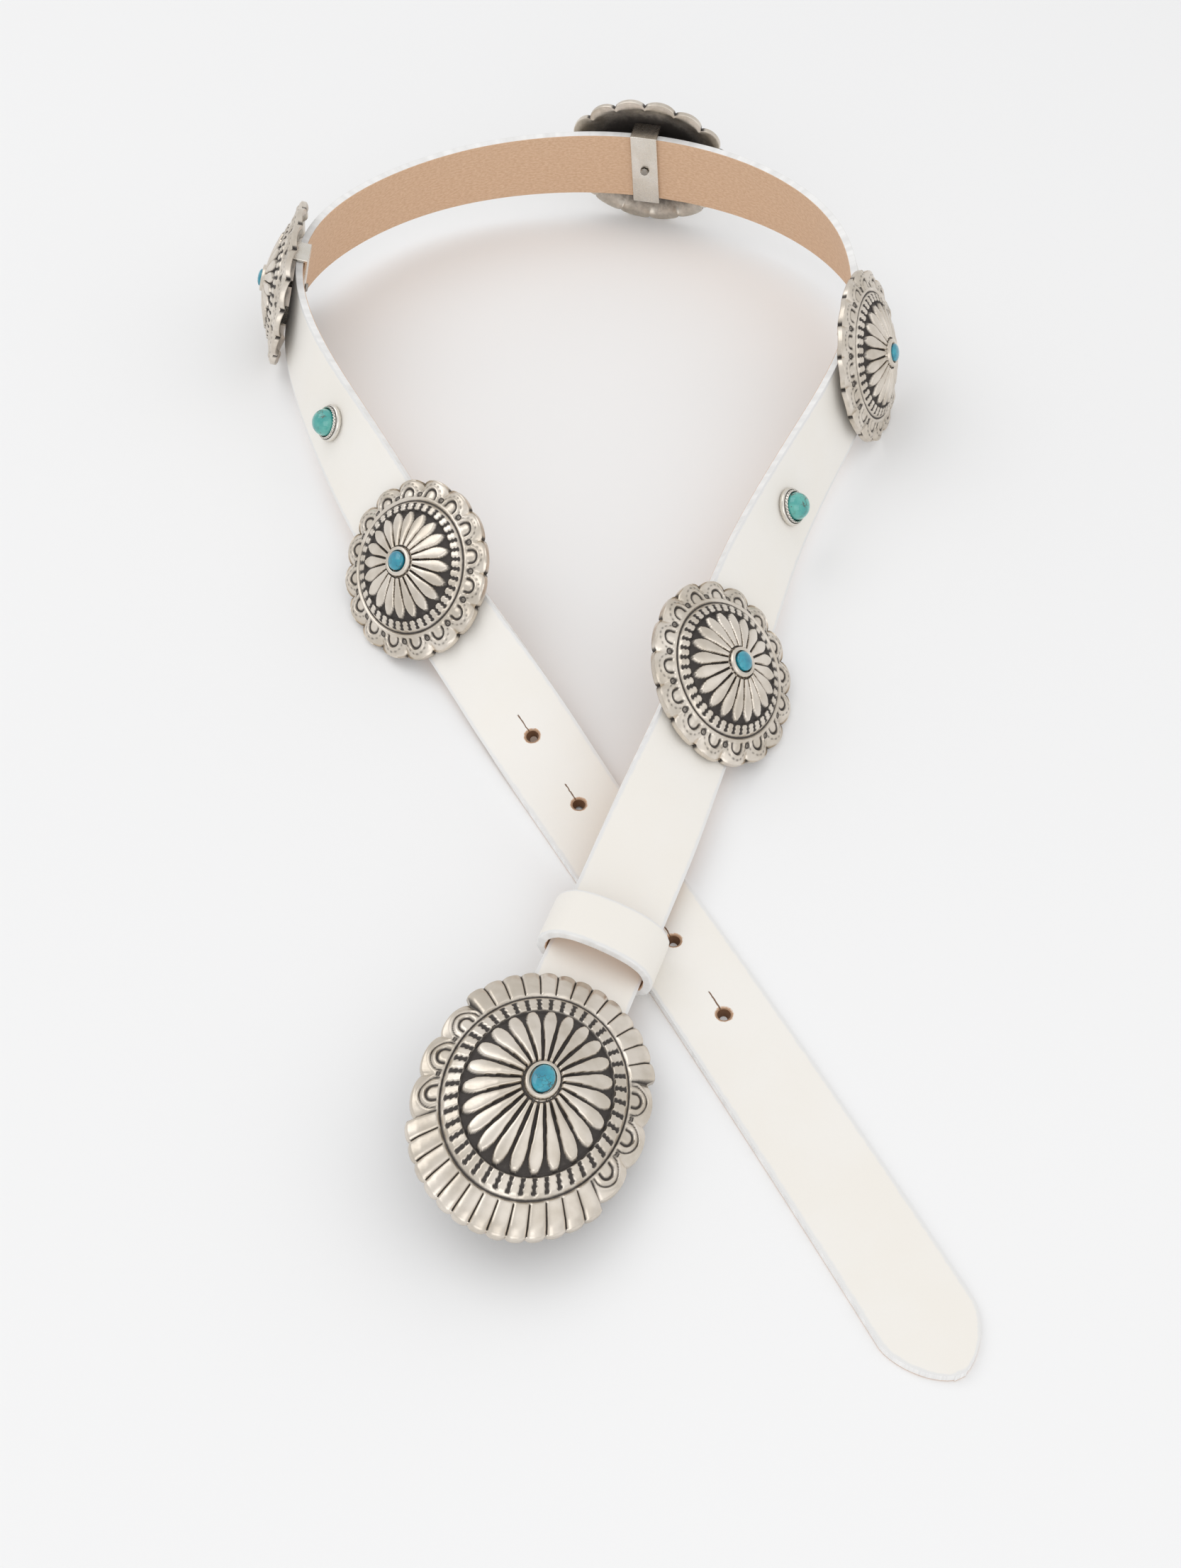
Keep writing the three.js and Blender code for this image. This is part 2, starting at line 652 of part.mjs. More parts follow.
function keeperGeometry() {
  const half = strapWidth / 2 + clearance;
  const low = -(strapThick / 2 + clearance);
  const high = strapThick / 2 + keeperRise;
  // side: share of the half opening; rise: share of the height from low to high.
  const arch = [
    { side: 1.00, rise: 0.00 }, { side: 1.03, rise: 0.28 }, { side: 1.00, rise: 0.52 },
    { side: 0.86, rise: 0.76 }, { side: 0.62, rise: 0.91 }, { side: 0.32, rise: 0.98 },
    { side: 0.00, rise: 1.00 },
  ];
  const right = arch.map(({ side, rise }) => new THREE.Vector2(side * half, low + rise * (high - low)));
  const left = right.slice(0, -1).reverse().map((p) => new THREE.Vector2(-p.x, p.y));
  const inner = [...right, ...left];
  const outer = inner.map((p, k) => {
    const a = inner[(k + inner.length - 1) % inner.length];
    const b = inner[(k + 1) % inner.length];
    const t1 = p.clone().sub(a).normalize();
    const t2 = b.clone().sub(p).normalize();
    const n = new THREE.Vector2(t1.y + t2.y, -(t1.x + t2.x)).normalize();
    return p.clone().addScaledVector(n, keeperThick);
  });
  const shape = new THREE.Shape(outer);
  shape.holes.push(new THREE.Path(inner.slice().reverse()));
  return extrudeAlong(shape, keeperWidth);
}

// The buckle's bar runs through the strap's eye; both ends turn up to the plate's back.
function buckleBarGeometry() {
  const r = wireDiameter / 2;
  const side = strapWidth / 2 + clearance + r;
  const low = -eyeRadius;
  const roof = roofAt(buckleLong, buckleWide, buckleDome, buckleForward + r, side + wireDiameter);
  const top = strapThick / 2 + buckleGap + roof - clearance;
  const bend = wireDiameter;
  const path = [
    [-side - r * 0.4, top], [-side - r * 0.4, low + bend], [-side + bend * 0.3, low + bend * 0.25],
    [-side + bend, low], [side - bend, low], [side - bend * 0.3, low + bend * 0.25],
    [side + r * 0.4, low + bend], [side + r * 0.4, top],
  ].map(([y, z]) => new THREE.Vector3(0, y, z));
  return wire(path, wireDiameter, 8);
}

const hookBack = buckleLong / 2 - hookInset;    // hook's post ahead of the buckle's middle

// A hook that catches a hole of the strap: a post from the plate's back, bent forward.
function hookGeometry() {
  const thick = wireDiameter * 1.2;
  const top = roofAt(buckleLong, buckleWide, buckleDome, hookBack + thick / 2, thick / 2) - clearance;
  const r = wireDiameter / 2;
  const path = [
    [0, top], [0, -hookDrop + r * 3], [r * 0.9, -hookDrop + r], [r * 3, -hookDrop],
    [hookReach, -hookDrop + r * 0.6],
  ].map(([x, z]) => new THREE.Vector3(x, 0, z));
  return wire(path, thick, 8);
}

function studCupGeometry() {
  const R = studDiameter / 2;
  return lathe([
    [0, 0], [R - 0.4, 0], [R, 0.8], [R - 0.2, studCup * 0.8], [R - 0.6, studCup],
    [R - studWall, studCup * 0.82], [R - studWall, studFloor], [0, studFloor],
  ], 16);
}

function studStoneGeometry() {
  const d = studDiameter - 2 * studWall - 2 * clearance;
  const girdle = studCup * 0.82 - studFloor;
  return cabochonGeometry(d, d, girdle, studCup + studStoneRise - studFloor - girdle - clearance);
}

// Assembly

const leather = new THREE.MeshStandardMaterial({ color: 0xefebe2, roughness: 0.6, metalness: 0 });
const silver = new THREE.MeshStandardMaterial({ color: 0xb9b1a7, roughness: 0.38, metalness: 1 });
const turquoise = new THREE.MeshStandardMaterial({ color: 0x3ca5be, roughness: 0.3, metalness: 0 });
const greenTurquoise = new THREE.MeshStandardMaterial({ color: 0x7dc3b9, roughness: 0.2, metalness: 0 });

const belt = new THREE.Group();

function add(name, geometry, material, frame, dx = 0, dz = 0) {
  const mesh = new THREE.Mesh(geometry, material);
  mesh.name = name;
  if (frame) place(frame, mesh, dx, dz);
  belt.add(mesh);
  return mesh;
}

add('strap', strapGeometry(), leather);
add('keeper_loop', keeperGeometry(), leather, seatAt(keeperSeat));

const outerFace = strapThick / 2;
const innerFace = -strapThick / 2;
const conchoNames = ['left_front', 'left', 'back', 'right', 'right_front'];
const conchoPlate = conchoGeometry();
const girdle = bezelSeat - clearance;
const conchoStone = cabochonGeometry(stoneLong, stoneWide, girdle, stoneCrown);
const seatHeight = conchoDome + bezelHeight - bezelSeat;
const rimAt = outerFace + plateGap;
const barInner = innerFace - clearance - keeperBarThick;
const domeRoof = rimAt + BACK_RINGS[BACK_RINGS.length - 1].z * conchoDome - sheetThick;
const keeperBar = keeperBarGeometry();
const conchoRivet = rivetGeometry(
  barInner - clearance, domeRoof - clearance, rivetHead, rivetHeadThick);
conchoSeats.forEach((seat, k) => {
  const frame = seatAt(seat);
  const name = `concho_${conchoNames[k]}`;
  add(`${name}_plate`, conchoPlate, silver, frame, 0, rimAt);
  add(`${name}_stone`, conchoStone, turquoise, frame, 0, rimAt + seatHeight + clearance);
  add(`${name}_bar`, keeperBar, silver, frame);
  add(`${name}_rivet`, conchoRivet, silver, frame);
});

const studCupShape = studCupGeometry();
const studStoneShape = studStoneGeometry();
const studScrew = rivetGeometry(innerFace - clearance, outerFace, rivetHead, rivetHeadThick);
studSeats.forEach((seat, k) => {
  const frame = seatAt(seat);
  const name = `stud_${['left', 'right'][k]}`;
  add(`${name}_cup`, studCupShape, silver, frame, 0, outerFace + clearance);
  add(`${name}_stone`, studStoneShape, greenTurquoise, frame, 0, outerFace + 2 * clearance + studFloor);
  add(`${name}_screw`, studScrew, silver, frame);
});

const endFrame = frameAt(1);
const buckleRim = outerFace + buckleGap;
add('buckle_plate', buckleGeometry(), silver, endFrame, buckleForward, buckleRim);
add('buckle_bar', buckleBarGeometry(), silver, endFrame);
add('buckle_hook', hookGeometry(), silver, endFrame, buckleForward + hookBack, buckleRim);
add('buckle_stone', cabochonGeometry(buckleStoneLong, buckleStoneWide, girdle, stoneCrown), turquoise,
  endFrame, buckleForward, buckleRim + buckleDome + bezelHeight - bezelSeat + clearance);

// Stand the belt on Z = 0 with the middle of its box over the origin.
const group = new THREE.Group();
group.add(belt);
belt.updateMatrixWorld(true);
const box = new THREE.Box3().setFromObject(belt, true);
belt.position.set(-(box.min.x + box.max.x) / 2, -(box.min.y + box.max.y) / 2, -box.min.z);

export default group;
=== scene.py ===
"""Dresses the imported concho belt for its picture, in the solids' own frame and in metres.

The strap and its keeper are cut flat and bent along the route that the solids follow. Each
plate is spun from a profile, then embossed by a relief, which also says where it is blackened.
"""

import logging
import math
from collections.abc import Sequence
from dataclasses import dataclass
from enum import Enum

import bmesh
import bpy
import numpy as np
from mathutils import Matrix, Vector


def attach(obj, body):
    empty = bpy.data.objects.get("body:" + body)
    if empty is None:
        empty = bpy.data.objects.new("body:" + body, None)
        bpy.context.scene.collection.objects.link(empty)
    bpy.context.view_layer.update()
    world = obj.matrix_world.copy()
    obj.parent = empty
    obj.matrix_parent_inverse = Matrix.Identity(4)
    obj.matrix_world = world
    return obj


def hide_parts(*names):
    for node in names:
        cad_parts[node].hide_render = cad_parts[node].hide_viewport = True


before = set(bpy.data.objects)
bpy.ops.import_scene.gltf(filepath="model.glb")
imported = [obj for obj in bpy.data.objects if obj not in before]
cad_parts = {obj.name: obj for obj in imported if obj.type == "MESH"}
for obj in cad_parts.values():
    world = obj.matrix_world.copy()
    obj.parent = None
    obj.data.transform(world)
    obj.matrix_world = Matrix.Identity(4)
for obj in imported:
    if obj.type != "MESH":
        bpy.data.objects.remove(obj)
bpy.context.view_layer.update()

LOG = logging.getLogger("concho_belt")
MM = 0.001
BODY = "root"
# Edges stay sharp from these angles, in degrees.
LEATHER_SHARP = 38
STONE_SHARP = 50
METAL_SHARP = 42
CUP_SHARP = 60
PLATE_SHARP = 75
Array = np.ndarray
Colour = tuple[float, float, float, float]


class Slot(Enum):
    """Names of the belt's material slots."""

    LEATHER = "leather"
    SILVER = "silver"
    TURQUOISE = "turquoise"
    GREEN = "green_turquoise"


class Place(Enum):
    """Where a concho sits on the loop, with its share of the strap's length from the tip."""

    LEFT_FRONT = 0.2835
    LEFT = 0.4225
    BACK = 0.5765
    RIGHT = 0.717
    RIGHT_FRONT = 0.8615


class StudPlace(Enum):
    """Where a stud sits, with its share of the strap's length from the tip."""

    LEFT = 0.353
    RIGHT = 0.789


# Small shapes of one number

def step(low: float, high: float, x: Array) -> Array:
    """Rises smoothly from 0 at low to 1 at high.

    Args:
        low: Where the rise starts.
        high: Where it ends; it may lie below low.
        x: The values.

    Returns:
        The shape, from 0 to 1.
    """
    u = np.clip((x - low) / (high - low), 0, 1)
    return u * u * (3 - 2 * u)


def ridge(distance: Array, half: float) -> Array:
    """A smooth ridge, 1 on its line and 0 from half away."""
    return step(half, 0, np.abs(distance))


def band(low: float, high: float, soft: float, x: Array) -> Array:
    """1 between low and high, with soft borders of that width inside them."""
    return step(low, low + soft, x) * step(high, high - soft, x)


def sector(turn: Array, count: int) -> Array:
    """How far a turn is from the middle of its sector: 0 in the middle, 1 on the borders."""
    return np.abs(2 * np.mod(turn * count, 1) - 1)


# Meshes and pieces

def mesh_of(name: str, bm: bmesh.types.BMesh) -> bpy.types.Mesh:
    """Turns a bmesh into a mesh of that name and frees it.

    Args:
        name: The mesh's name.
        bm: The bmesh, which is used up.

    Returns:
        The mesh.
    """
    mesh = bpy.data.meshes.new(name)
    bm.to_mesh(mesh)
    bm.free()
    return mesh


def points_of(mesh: bpy.types.Mesh) -> Array:
    """The mesh's points as an array with a row for each.

    Args:
        mesh: The mesh.

    Returns:
        Its points.
    """
    flat = np.empty(len(mesh.vertices) * 3, np.float64)
    mesh.vertices.foreach_get("co", flat)
    return flat.reshape(-1, 3)


def set_points(mesh: bpy.types.Mesh, points: Array) -> None:
    """Moves the mesh's points to new places."""
    mesh.vertices.foreach_set("co", np.asarray(points, np.float32).ravel())
    mesh.update()


def set_mask(mesh: bpy.types.Mesh, name: str, values: Array) -> None:
    """Stores one number for each point under that name, for a material to read."""
    layer = mesh.attributes.new(name=name, type="FLOAT", domain="POINT")
    layer.data.foreach_set("value", np.asarray(values, np.float32).ravel())


def set_uv(mesh: bpy.types.Mesh, pairs: Array) -> None:
    """Stores a UV map with one pair for each point.

    Args:
        mesh: The mesh.
        pairs: A row with the two numbers of each point.
    """
    corners = np.empty(len(mesh.loops), np.int32)
    mesh.loops.foreach_get("vertex_index", corners)
    layer = mesh.uv_layers.new(name="flat")
    layer.data.foreach_set("uv", np.asarray(pairs[corners], np.float32).ravel())


def seat_points(mesh: bpy.types.Mesh, points: Array, seat: Matrix) -> None:
    """Moves the mesh's points to places that are given in a seat's frame."""
    matrix = np.array(seat)
    set_points(mesh, points @ matrix[:3, :3].T + matrix[:3, 3])


def polar(points: Array) -> tuple[Array, Array]:
    """Distance of the points from the z axis, and their turn round it from 0 to 1."""
    turn = np.arctan2(points[:, 1], points[:, 0]) / (2 * math.pi)
    return np.hypot(points[:, 0], points[:, 1]), np.mod(turn, 1)


def read_rows(at: Array | float, spots: Array, rows: Array) -> Array:
    """Reads a table between its rows.

    Args:
        at: Where to read it.
        spots: Where its rows are.
        rows: The rows.

    Returns:
        A row for each place, or one row for one place.
    """
    return np.stack([np.interp(at, spots, column) for column in rows.T], axis=-1)


def run_along(line: Array) -> Array:
    """Distance of a line's points from its start, along the line."""
    return np.concatenate([[0], np.cumsum(np.linalg.norm(np.diff(line, axis=0), axis=1))])


def add_object(name: str, data: bpy.types.ID) -> bpy.types.Object:
    """Makes an object of a mesh, lamp or camera and links it into the scene."""
    obj = bpy.data.objects.new(name, data)
    bpy.context.scene.collection.objects.link(obj)
    return obj


def add_piece(
    name: str,
    mesh: bpy.types.Mesh,
    material: bpy.types.Material,
    nodes: Sequence[str],
    sharp: float = STONE_SHARP,
) -> bpy.types.Object:
    """Makes a finished mesh a piece of the belt.

    Args:
        name: The piece's name.
        mesh: Its mesh, in the row frame.
        material: Its finish.
        nodes: The solids that it stands for.
        sharp: Edges stay sharp from this angle, in degrees.

    Returns:
        The object.
    """
    mesh.materials.clear()
    mesh.materials.append(material)
    mesh.shade_smooth()
    mesh.set_sharp_from_angle(angle=math.radians(sharp))
    obj = add_object(name, mesh)
    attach(obj, BODY)
    if nodes:
        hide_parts(*nodes)
    LOG.info("%s: %d faces", name, len(mesh.polygons))
    return obj


def spin_profile(profile: Sequence[tuple[float, float]], steps: int) -> bmesh.types.BMesh:
    """Turns a profile once round +Z.

    Args:
        profile: Radius and height of each point, the first and last on the axis.
        steps: Steps of the turn.

    Returns:
        A closed bmesh.
    """
    bm = bmesh.new()
    verts = [bm.verts.new((radius, 0, height)) for radius, height in profile]
    edges = [bm.edges.new(pair) for pair in zip(verts, verts[1:])]
    bmesh.ops.spin(
        bm, geom=verts + edges, cent=(0, 0, 0), axis=(0, 0, 1), dvec=(0, 0, 0),
        angle=2 * math.pi, steps=steps, use_merge=True, use_duplicate=False,
    )
    bmesh.ops.remove_doubles(bm, verts=bm.verts, dist=1e-7)
    bmesh.ops.recalc_face_normals(bm, faces=bm.faces)
    return bm


# The strap's route

@dataclass(frozen=True)
class Turn:
    """One row of the route.

    share is of the strap's length from the tip, heading the compass of travel in degrees from
    +X, lean 0 on edge and 90 flat, rim the lift of the lower edge as a share of a concho's
    overhang, and over the lift in strap layers.
    """

    share: float
    heading: float
    lean: float
    rim: float = 0
    over: float = 0


ROUTE = (
    Turn(0.000, 116.0, 90), Turn(0.190, 118.5, 90),
    Turn(0.216, 121.0, 77, 0.02), Turn(0.236, 122.5, 57, 0.10),
    Turn(0.253, 122.0, 48, 0.26), Turn(0.282, 118.0, 47, 0.54),
    Turn(0.312, 115.0, 46, 0.63), Turn(0.332, 115.0, 40, 0.64),
    Turn(0.353, 115.0, 30, 0.68), Turn(0.373, 112.0, 21, 0.76),
    Turn(0.393, 106.5, 15, 0.88), Turn(0.423, 88.0, 13, 0.95),
    Turn(0.454, 55.5, 12, 0.92), Turn(0.494, 32.0, 13, 0.88),
    Turn(0.535, 9.0, 10, 0.86), Turn(0.575, -13.5, 7, 0.93),
    Turn(0.615, -35.5, 10, 1.04), Turn(0.656, -62.0, 14, 1.12),
    Turn(0.686, -86.0, 19, 1.06), Turn(0.717, -105.0, 21, 0.86),
    Turn(0.742, -114.0, 21, 0.70), Turn(0.767, -115.5, 24, 0.60),
    Turn(0.798, -112.5, 33, 0.46), Turn(0.828, -107.0, 47, 0.46),
    Turn(0.858, -107.0, 48, 0.50), Turn(0.891, -110.0, 50, 0.38, 0.2),
    Turn(0.914, -111.0, 64, 0.10, 1.3), Turn(0.934, -110.0, 76, 0, 1.9),
    Turn(0.960, -109.0, 76, 0, 2.1), Turn(1.000, -109.5, 76, 0, 2.8),
)


@dataclass
class Route:
    """The strap's path, walked in short steps as the solids' source walks it."""

    length: float = 1111 * MM
    width: float = 28.5 * MM
    thick: float = 2.8 * MM
    clearance: float = 0.3 * MM
    overhang: float = 14.25 * MM
    wire: float = 2.4 * MM
    fold: float = 24 * MM
    tip: tuple[float, float] = (98.211 * MM, -254.672 * MM)
    steps: int = 600
    # Steps over which the direction of travel is read, and points round the bar.
    chord: int = 5
    bend_points: int = 16

    def __post_init__(self) -> None:
        """Walks the route and the fold round the buckle's bar."""
        self.layer = self.thick + self.clearance
        self.eye = self.wire / 2 + self.clearance + self.thick / 2
        nodes = np.arange(self.steps + 1) / self.steps
        height = self.centre_height(nodes)
        heading = np.radians(self.column(nodes[:-1] + 0.5 / self.steps, "heading"))
        one = self.length / self.steps
        run = np.sqrt(np.maximum(one * one - np.diff(height) ** 2, 0))
        ground = np.stack([run * np.cos(heading), run * np.sin(heading)], axis=1)
        ground = np.concatenate([[self.tip], self.tip + np.cumsum(ground, axis=0)])
        points = np.column_stack([ground, height])
        middles = np.arange(self.steps)
        first = np.clip(middles - self.chord // 2, 0, self.steps - self.chord)
        chords = self.unit(points[first + self.chord] - points[first])
        spans = (middles + 0.5) / self.steps
        along = self.unit(read_rows(nodes, spans, chords))
        left = self.unit(np.cross([0, 0, 1], along))
        up = np.cross(along, left)
        lean = np.radians(self.column(nodes, "lean"))[:, None]
        out = left * np.cos(lean) + up * np.sin(lean)
        self.reach = nodes * self.length
        self.points, self.along, self.out, self.down = points, along, out, np.cross(out, along)
        self.add_fold()

    @staticmethod
    def unit(vectors: Array) -> Array:
        """The vectors at length 1."""
        return vectors / np.linalg.norm(vectors, axis=1, keepdims=True)

    def column(self, shares: Array, name: str) -> Array:
        """A column of the route's rows at these shares, evened out over one strap width.

        Args:
            shares: Shares of the strap's length.
            name: The field of Turn to read.

        Returns:
            Its values.
        """
        at = [row.share for row in ROUTE]
        values = [getattr(row, name) for row in ROUTE]
        half = self.width / 2 / self.length
        spread = [np.interp(shares + k * half, at, values) for k in (-1, -0.5, 0, 0.5, 1)]
        return np.mean(spread, axis=0)

    def centre_height(self, shares: Array) -> Array:
        """Height of the strap's middle line over the floor.

        Args:
            shares: Shares of the strap's length.

        Returns:
            The heights.
        """
        lean = np.radians(self.column(shares, "lean"))
        lift = self.column(shares, "rim") * self.overhang + self.column(shares, "over") * self.layer
        return self.width / 2 * np.cos(lean) + self.thick / 2 * np.sin(lean) + lift

    def add_fold(self) -> None:
        """Adds the end of the strap, turned round the bar and laid back under itself."""
        along, out, down = self.along[-1], self.out[-1], self.down[-1]
        bar = self.points[-1] - out * self.eye
        turns = np.linspace(0, math.pi, self.bend_points + 1)[1:, None]
        round_out = out * np.cos(turns) + along * np.sin(turns)
        points = [self.points, bar + round_out * self.eye]
        outs = [self.out, round_out]
        drops = ((0.20, 2 * self.eye * 0.86 + self.layer * 0.14), (0.45, self.layer * 1.25),
                 (0.65, self.layer), (1.0, self.layer))
        for back, drop in drops:
            share = (self.length - back * self.fold) / self.length
            point, _, _, face = self.at(share * self.length)
            points.append((point - face * drop)[None])
            outs.append(-face[None])
        count = sum(len(part) for part in points) - len(self.points)
        self.points = np.concatenate(points)
        self.out = np.concatenate(outs)
        self.down = np.concatenate([self.down, np.repeat(down[None], count, axis=0)])
        gaps = np.linalg.norm(np.diff(self.points[-count - 1:], axis=0), axis=1)
        self.reach = np.concatenate([self.reach, self.length + np.cumsum(gaps)])

    @property
    def cut_length(self) -> float:
        """Length of the strap when it is unrolled, its folded end included."""
        return float(self.reach[-1])

    def at(self, reach: float) -> tuple[Array, Array, Array, Array]:
        """Point, along, down and out at a distance from the tip.

        Args:
            reach: Distance from the tip.

        Returns:
            The four vectors.
        """
        point, along, out = (
            read_rows(reach, self.reach[:len(rows)], rows)
            for rows in (self.points, self.along, self.out)
        )
        along /= np.linalg.norm(along)
        out -= along * np.dot(out, along)
        out /= np.linalg.norm(out)
        return point, along, np.cross(out, along), out

    def seat(self, share: float, half: float) -> Matrix:
        """The frame of a flat seat, which spans half to both sides of a share of the length.

        Args:
            share: Middle of the seat, as a share of the length.
            half: Half the seat's length.

        Returns:
            A matrix with travel as x, the strap's lower side as y and its face as z.
        """
        first, _, _, first_out = self.at(share * self.length - half)
        last, _, _, last_out = self.at(share * self.length + half)
        middle = (first + last) / 2
        along = (last - first) / np.linalg.norm(last - first)
        out = first_out + last_out
        out -= along * np.dot(out, along)
        out /= np.linalg.norm(out)
        return self.matrix(middle, along, np.cross(out, along), out)

    def end(self) -> Matrix:
        """The frame of the strap's end at the buckle's bar."""
        return self.matrix(*self.at(self.length))

    @staticmethod
    def matrix(point: Array, along: Array, down: Array, out: Array) -> Matrix:
        """The matrix of a frame from its point and three directions.

        Args:
            point: Its origin.
            along: Its x.
            down: Its y.
            out: Its z.

        Returns:
            The matrix.
        """
        rows = np.eye(4)
        rows[:3, 0], rows[:3, 1], rows[:3, 2], rows[:3, 3] = along, down, out, point
        return Matrix(rows.tolist())

    def lay(self, flat: Array) -> Array:
        """Bends points of the flat strap onto the route.

        Args:
            flat: Distance from the tip, place across and height over the middle, a row each.

        Returns:
            The points in the row frame.
        """
        point, down, out = (
            read_rows(flat[:, 0], self.reach, rows) for rows in (self.points, self.down, self.out)
        )
        return point + self.unit(down) * flat[:, 1:2] + self.unit(out) * flat[:, 2:3]


# Node trees

class Tree:
    """Short names for the nodes that the finishes use."""

    def __init__(self, tree: bpy.types.NodeTree) -> None:
        """Starts on an empty or given tree."""
        self.tree = tree

    def add(self, kind: str, settings: dict | None = None, **inputs: object) -> bpy.types.Node:
        """Adds a node.

        Args:
            kind: The node's type.
            settings: Its own properties.
            inputs: Values or sockets for its inputs, with _ for a space in a name.

        Returns:
            The node.
        """
        node = self.tree.nodes.new(kind)
        for name, value in (settings or {}).items():
            setattr(node, name, value)
        self.fill(node, **inputs)
        return node

    def fill(self, node: bpy.types.Node, **inputs: object) -> None:
        """Feeds a node's named inputs, with _ for a space in a name."""
        for name, value in inputs.items():
            self.feed(node.inputs[name.replace("_", " ")], value)

    def feed(self, socket: bpy.types.NodeSocket, value: object) -> None:
        """Links a socket, or sets it if the value isn't one.

        Args:
            socket: The input.
            value: An output to link or a plain value.
        """
        if isinstance(value, bpy.types.NodeSocket):
            self.tree.links.new(value, socket)
        else:
            socket.default_value = value

    def math(self, kind: str, first: object, second: object = 0.0) -> bpy.types.NodeSocket:
        """A math node's result.

        Args:
            kind: Its operation.
            first: First value or socket.
            second: Second value or socket.

        Returns:
            Its output.
        """
        node = self.add("ShaderNodeMath", {"operation": kind})
        self.feed(node.inputs[0], first)
        self.feed(node.inputs[1], second)
        return node.outputs[0]

    def range(
        self, value: object, low: float, high: float, start: float = 0, end: float = 1,
    ) -> bpy.types.NodeSocket:
        """Maps low..high smoothly to start..end.

        Args:
            value: What to map.
            low: Where the change starts.
            high: Where it ends.
            start: Result at low.
            end: Result at high.

        Returns:
            The result's output.
        """
        node = self.add(
            "ShaderNodeMapRange", {"interpolation_type": "SMOOTHSTEP"},
            Value=value, From_Min=low, From_Max=high, To_Min=start, To_Max=end,
        )
        return node.outputs[0]

    def mix(self, factor: object, first: object, second: object) -> bpy.types.NodeSocket:
        """Mixes two colours.

        Args:
            factor: Share of the second.
            first: First colour.
            second: Second colour.

        Returns:
            The mixed colour's output.
        """
        node = self.add("ShaderNodeMix", {"data_type": "RGBA"})
        self.feed(node.inputs[0], factor)
        self.feed(node.inputs[6], first)
        self.feed(node.inputs[7], second)
        return node.outputs[2]

    def noise(
        self, vector: object, scale: object, detail: float = 3, rough: float = 0.5,
    ) -> bpy.types.NodeSocket:
        """A noise value from 0 to 1."""
        inputs = {"Vector": vector, "Scale": scale, "Detail": detail, "Roughness": rough}
        return self.add("ShaderNodeTexNoise", None, **inputs).outputs["Fac"]

    def fray(self, vector: object, scale: float, detail: float, reach: float) -> bpy.types.NodeSocket:
        """Noise about zero, reach from its lowest to its highest."""
        return self.math("MULTIPLY", self.math("SUBTRACT", self.noise(vector, scale, detail), 0.5), reach)

    def stretch(self, vector: object, scale: tuple[float, float, float]) -> bpy.types.NodeSocket:
        """A vector scaled by axis."""
        return self.add("ShaderNodeMapping", None, Vector=vector, Scale=scale).outputs[0]

    def mask(self, name: str) -> bpy.types.NodeSocket:
        """A stored number of the mesh."""
        node = self.add("ShaderNodeAttribute", {"attribute_name": name, "attribute_type": "GEOMETRY"})
        return node.outputs["Fac"]

    def place(self) -> bpy.types.NodeSocket:
        """Object coordinates."""
        return self.add("ShaderNodeTexCoord").outputs["Object"]

    def bump(
        self, height: object, strength: float, distance: float, normal: object = None,
    ) -> bpy.types.NodeSocket:
        """A normal from a height.

        Args:
            height: The height.
            strength: How strongly it shows.
            distance: Its depth in metres.
            normal: A normal to add to, if any.

        Returns:
            The normal's output.
        """
        node = self.add("ShaderNodeBump", None, Height=height, Strength=strength, Distance=distance)
        if normal is not None:
            self.feed(node.inputs["Normal"], normal)
        return node.outputs[0]

    def group(self, name: str, **inputs: object) -> bpy.types.Node:
        """Places a shared effect.

        Args:
            name: The effect's name.
            inputs: Its inputs, with _ for a space in a name.

        Returns:
            Its node.
        """
        return self.add("ShaderNodeGroup", {"node_tree": bpy.data.node_groups[name]}, **inputs)


